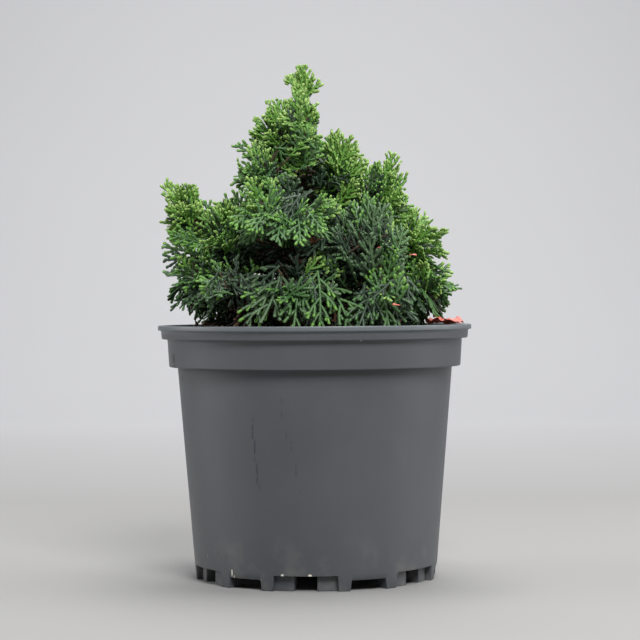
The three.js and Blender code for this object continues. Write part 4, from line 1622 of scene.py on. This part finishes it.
def clear_of_pot(rows):
    """Which shoots stay above the compost, off the lip and within the pot's outline."""
    base, way, face = rows[:, 0:3], rows[:, 3:6], rows[:, 6:9]
    length, bend, lift = rows[:, [9]], rows[:, [11]], rows[:, [12]]
    turning = np.cross(face, way) * bend + face * lift
    keep = np.ones(len(rows), bool)
    for share in (0.0, 0.35, 0.7, 1.0):
        point = base + way * length * share + turning * length * share ** 2 / 2
        radius = np.hypot(point[:, 0], point[:, 1])
        keep &= (radius < WIDEST) & (point[:, 2] > LOWEST) & (point[:, 2] < HIGHEST)
        keep &= (radius < INSIDE_LIP) | (point[:, 2] > OVER_LIP)
        keep &= ~in_notch(point)
    return keep


print("notches in the outline:", len(NOTCHES))

# %% [markdown]
# The shoots that are left are counted off by their triangles, and each full group becomes
# one piece with the finish of its tone.

# %% Joining the shoots
MOST_TRIANGLES = 190_000
# Triangles of one scale, and of both ends of a shoot.
SCALE_TRIANGLES = 16
END_TRIANGLES = 6
# Shaded shoots show less, so their scales may be longer.
COARSE = {"deep": 4.5, "dead": 3.5}
foliage_nodes = [f"foliage_{name}" for name in NAMES]
total = 0
for tone, rows in SHOOTS.items():
    rows = np.array(rows)
    rows = rows[clear_of_pot(rows)]
    finish = leaf_finish(tone)
    scale_length = COARSE.get(tone, SCALE_LENGTH)
    size = SCALE_TRIANGLES * np.maximum(1, np.round(rows[:, 9] / scale_length)) + END_TRIANGLES
    group = (np.cumsum(size) // MOST_TRIANGLES).astype(int)
    for number in range(group[-1] + 1):
        mesh = fill_mesh(f"shoots_{tone}", *shoot_bodies(rows[group == number], scale_length))
        add_piece(f"shoots_{tone}_{number + 1}", mesh, finish, foliage_nodes)
        total += count_triangles(mesh)
print("triangles in all shoots:", total)

# %% [markdown]
# ## Twigs
#
# Inside the crown, stems and twigs carry the fans. Young wood of this plant is brown and
# smooth, and its browns here are made darker as painted shade, since the twigs lie in the
# crown's shade. The twigs are thin and mostly hidden, so four sides are enough for each.
# Twigs in a notch of the outline have lost their shoots and are left out too.

# %% Stems and twigs
# Dark browns: the young wood's colour with painted shade in it.
TWIG_FINISH = bark_finish("young_wood", (44, 32, 24), (84, 62, 42), 900.0)
stem_parts = tubes(STEMS, [stem_radius] * len(STEMS), 8, 2.0)
add_piece("stems", fill_mesh("stems", *stem_parts), TWIG_FINISH, foliage_nodes)

kept = [twig for twig in TWIGS if not in_notch(twig[0].points).any()]
twig_radii = [tapered(thick, thin) for _, thick, thin in kept]
twig_parts = tubes([path for path, _, _ in kept], twig_radii, 4, 3)
add_piece("twigs", fill_mesh("twigs", *twig_parts), TWIG_FINISH, foliage_nodes)

# %% [markdown]
# ## Fallen scraps
#
# A crumpled salmon-red leaf from some other plant has blown in and lies on the lip at the
# right, with a few bits of it caught in the fans. A crumpled leaf is a sheet with folds: we
# bend a small grid with noise, make it a quarter of a millimetre thick by placing the same
# grid again underneath, and close the rim.

# %% Fallen scraps
SCRAP_THICKNESS = 0.25
# Each scrap: its centre, its length and width, its heading in degrees and how it crumples.
SCRAPS = [
    ((78, -22, 155.2), (22, 14), 6, 3.2),
    ((82, -12, 154.6), (13, 9), 40, 2.4),
    ((47, -77, 165), (5, 3.2), 20, 1.2),
    ((58.5, -33, 194.5), (5, 2.6), -30, 1.0),
    ((37.5, -69, 198), (3.4, 1.6), 60, 0.8),
    ((75.5, -30, 155.8), (4, 3), 80, 1.0),
]


def fold(x, y, centre):
    """How far a place on a sheet is folded up or down, as a share of its depth."""
    wide = noise.noise(Vector((x * 0.22, y * 0.3, centre[2])))
    return wide + 0.5 * noise.noise(Vector((x * 0.7, y * 0.7, centre[0])))


def crumpled(centre, size, heading, depth, steps=12):
    """Points and faces of a thin crumpled sheet with a leaf's outline."""
    u, v = np.meshgrid(np.linspace(-1, 1, steps + 1), np.linspace(-1, 1, steps + 1), indexing="ij")
    wide = np.sqrt(np.clip(1.04 - u ** 2, 0.02, 1)) * (1 + 0.12 * np.sin(9 * u + centre[0]))
    turn = math.radians(heading)
    x, y = u * size[0] / 2, v * wide * size[1] / 2
    z = np.array([fold(a, b, centre) for a, b in zip(x.ravel(), y.ravel())]).reshape(x.shape)
    across = x * math.cos(turn) - y * math.sin(turn)
    deep = x * math.sin(turn) + y * math.cos(turn)
    top = (np.stack([across, deep, depth * z], -1) + centre).reshape(-1, 3)
    index = np.arange((steps + 1) ** 2).reshape(steps + 1, steps + 1)
    upper = np.stack([index[:-1, :-1], index[1:, :-1], index[1:, 1:], index[:-1, 1:]], -1)
    upper = upper.reshape(-1, 4)
    rim = np.concatenate([index[:, 0], index[-1, 1:], index[-2::-1, -1], index[0, -2::-1]])
    below = len(top)
    edge = np.stack([rim[1:], rim[:-1], rim[:-1] + below, rim[1:] + below], -1)
    return (np.concatenate([top, top - (0, 0, SCRAP_THICKNESS)]),
            np.concatenate([upper, upper[:, ::-1] + below, edge]))


def scrap_finish():
    made = Finish("fallen_leaf", 0.6)
    veins = made.ramp(made.noise(420.0, 4.0), 0.35, 0.7)
    made.colour(made.mix(veins, screen_colour(190, 78, 66), screen_colour(226, 146, 132)))
    made.relief(made.noise(700.0, 4.0), 0.3, 0.7)
    return made.material


scrap_points = []
scrap_quads = []
for scrap in SCRAPS:
    points, quads = crumpled(*scrap)
    scrap_quads.append(quads + sum(map(len, scrap_points)))
    scrap_points.append(points)
scrap_mesh = fill_mesh("scraps", np.concatenate(scrap_points), np.concatenate(scrap_quads))
add_piece("fallen_scraps", scrap_mesh, scrap_finish())

# %% [markdown]
# ## Floor
#
# The object stands on a plain pale sheet that curves up behind it, so no edge shows. The
# sheet is a strip of faces along one profile: a flat floor, a quarter bend and a wall. It
# is painted a little darker near the object than far behind it, as painted shade and
# light, the way a sheet in a bright room looks.

# %% Floor
SHEET_WIDTH = 6000
SHEET_FRONT = -3000
SHEET_BACK = 2600
SHEET_TOP = 2600
BEND_RADIUS = 900


def sheet_profile():
    """Points along the sheet, from the front edge of the floor to the top of the wall."""
    foot = SHEET_BACK - BEND_RADIUS
    turns = np.linspace(0, math.pi / 2, 16)
    bend = [(foot + BEND_RADIUS * math.sin(a), BEND_RADIUS - BEND_RADIUS * math.cos(a)) for a in turns]
    return [(SHEET_FRONT, 0), *bend, (SHEET_BACK, SHEET_TOP)]


def sheet_finish():
    made = Finish("paper_sheet", 0.9)
    far = made.node("ShaderNodeSeparateXYZ", {0: made.place}).outputs["Y"]
    # Painted shade and light: darker near the object, paler far behind it.
    grey = made.tint(screen_colour(142, 141, 140), made.ramp(far, 0.5, 1.6), 182, 182, 184)
    cloudy = made.times(made.noise(3.0), 0.04)
    made.colour(made.tint(grey, cloudy, 120, 120, 120))
    return made.material


profile = sheet_profile()
points = [(side * SHEET_WIDTH / 2, y, z) for y, z in profile for side in (-1, 1)]
quads = [(2 * k, 2 * k + 1, 2 * k + 3, 2 * k + 2) for k in range(len(profile) - 1)]
sheet = bpy.data.objects.new("backdrop", fill_mesh("backdrop", points, quads))
sheet.data.materials.append(sheet_finish())
bpy.context.scene.collection.objects.link(sheet)
print("points on the sheet:", len(points))

# %% [markdown]
# ## Light
#
# A wide soft light from the front and above does most of the work, as a window would. A
# second one overhead lights the tips, two weak ones at the sides stand for pale walls, which
# show as soft bright edges on the pot, and the last is turned to the sheet behind. The room
# itself adds little light, so that hollows and the corner under the collar stay dark, but
# looks pale where it is seen.

# %% Light
# Each light: its place, what it is turned to, its size and its power.
LIGHTS = {
    "window": ((300, -1150, 1150), (0, 0, 170), 600, 26),
    "skylight": ((150, 250, 1500), (0, 0, 230), 900, 18),
    "right_wall": ((1200, 100, 500), (0, 0, 120), 700, 8),
    "left_wall": ((-1200, 100, 450), (0, 0, 120), 700, 8),
    "sheet_light": ((0, 1700, 2400), (0, 2650, 1100), 1600, 56),
}
ROOM_LIGHT = 0.15
ROOM_SEEN = 0.6
ROOM_COLOUR = (0.92, 0.95, 1.0, 1.0)


def add_light(name, place, target, size, power):
    """A square soft light at a place in millimetres, turned to a target."""
    lamp = bpy.data.lights.new(name, "AREA")
    lamp.size = size * MM
    lamp.energy = power
    piece = bpy.data.objects.new(name, lamp)
    piece.location = Vector(place) * MM
    piece.rotation_euler = (Vector(target) - Vector(place)).to_track_quat("-Z", "Y").to_euler()
    bpy.context.scene.collection.objects.link(piece)


for name, values in LIGHTS.items():
    add_light(name, *values)
world = bpy.data.worlds.new("room")
world.use_nodes = True
backing = world.node_tree.nodes["Background"]
backing.inputs["Color"].default_value = ROOM_COLOUR
seen = world.node_tree.nodes.new("ShaderNodeLightPath")
strength = world.node_tree.nodes.new("ShaderNodeMapRange")
strength.inputs["To Min"].default_value = ROOM_LIGHT
strength.inputs["To Max"].default_value = ROOM_SEEN
world.node_tree.links.new(seen.outputs["Is Camera Ray"], strength.inputs["Value"])
world.node_tree.links.new(strength.outputs["Result"], backing.inputs["Strength"])
bpy.context.scene.world = world
print("lights:", ", ".join(LIGHTS))

# %% [markdown]
# ## Camera
#
# The plant is seen from the front, with the eye a little above the lip, so the lip shows as
# a thin line. A long lens keeps the pot's sides almost parallel. The camera tips down half
# a degree and leans by a third of a degree.

# %% Camera
SENSOR_WIDTH = 36
LENS = 120.3
EYE = (3.3, -1300, 168)
# In degrees.
TIPPED_DOWN = 0.54
LEANING = -0.36
camera_data = bpy.data.cameras.new("camera")
camera_data.sensor_width = SENSOR_WIDTH
camera_data.lens = LENS
camera_data.clip_start = 0.05
camera_data.clip_end = 30
camera = bpy.data.objects.new("camera", camera_data)
bpy.context.scene.collection.objects.link(camera)
place = Matrix.Translation(Vector(EYE) * MM)
tip_down = Matrix.Rotation(math.radians(90 - TIPPED_DOWN), 4, "X")
lean = Matrix.Rotation(math.radians(LEANING), 4, "Z")
camera.matrix_world = place @ tip_down @ lean
bpy.context.scene.camera = camera
bpy.context.scene.view_settings.view_transform = "Standard"
print("lens, mm:", camera_data.lens)
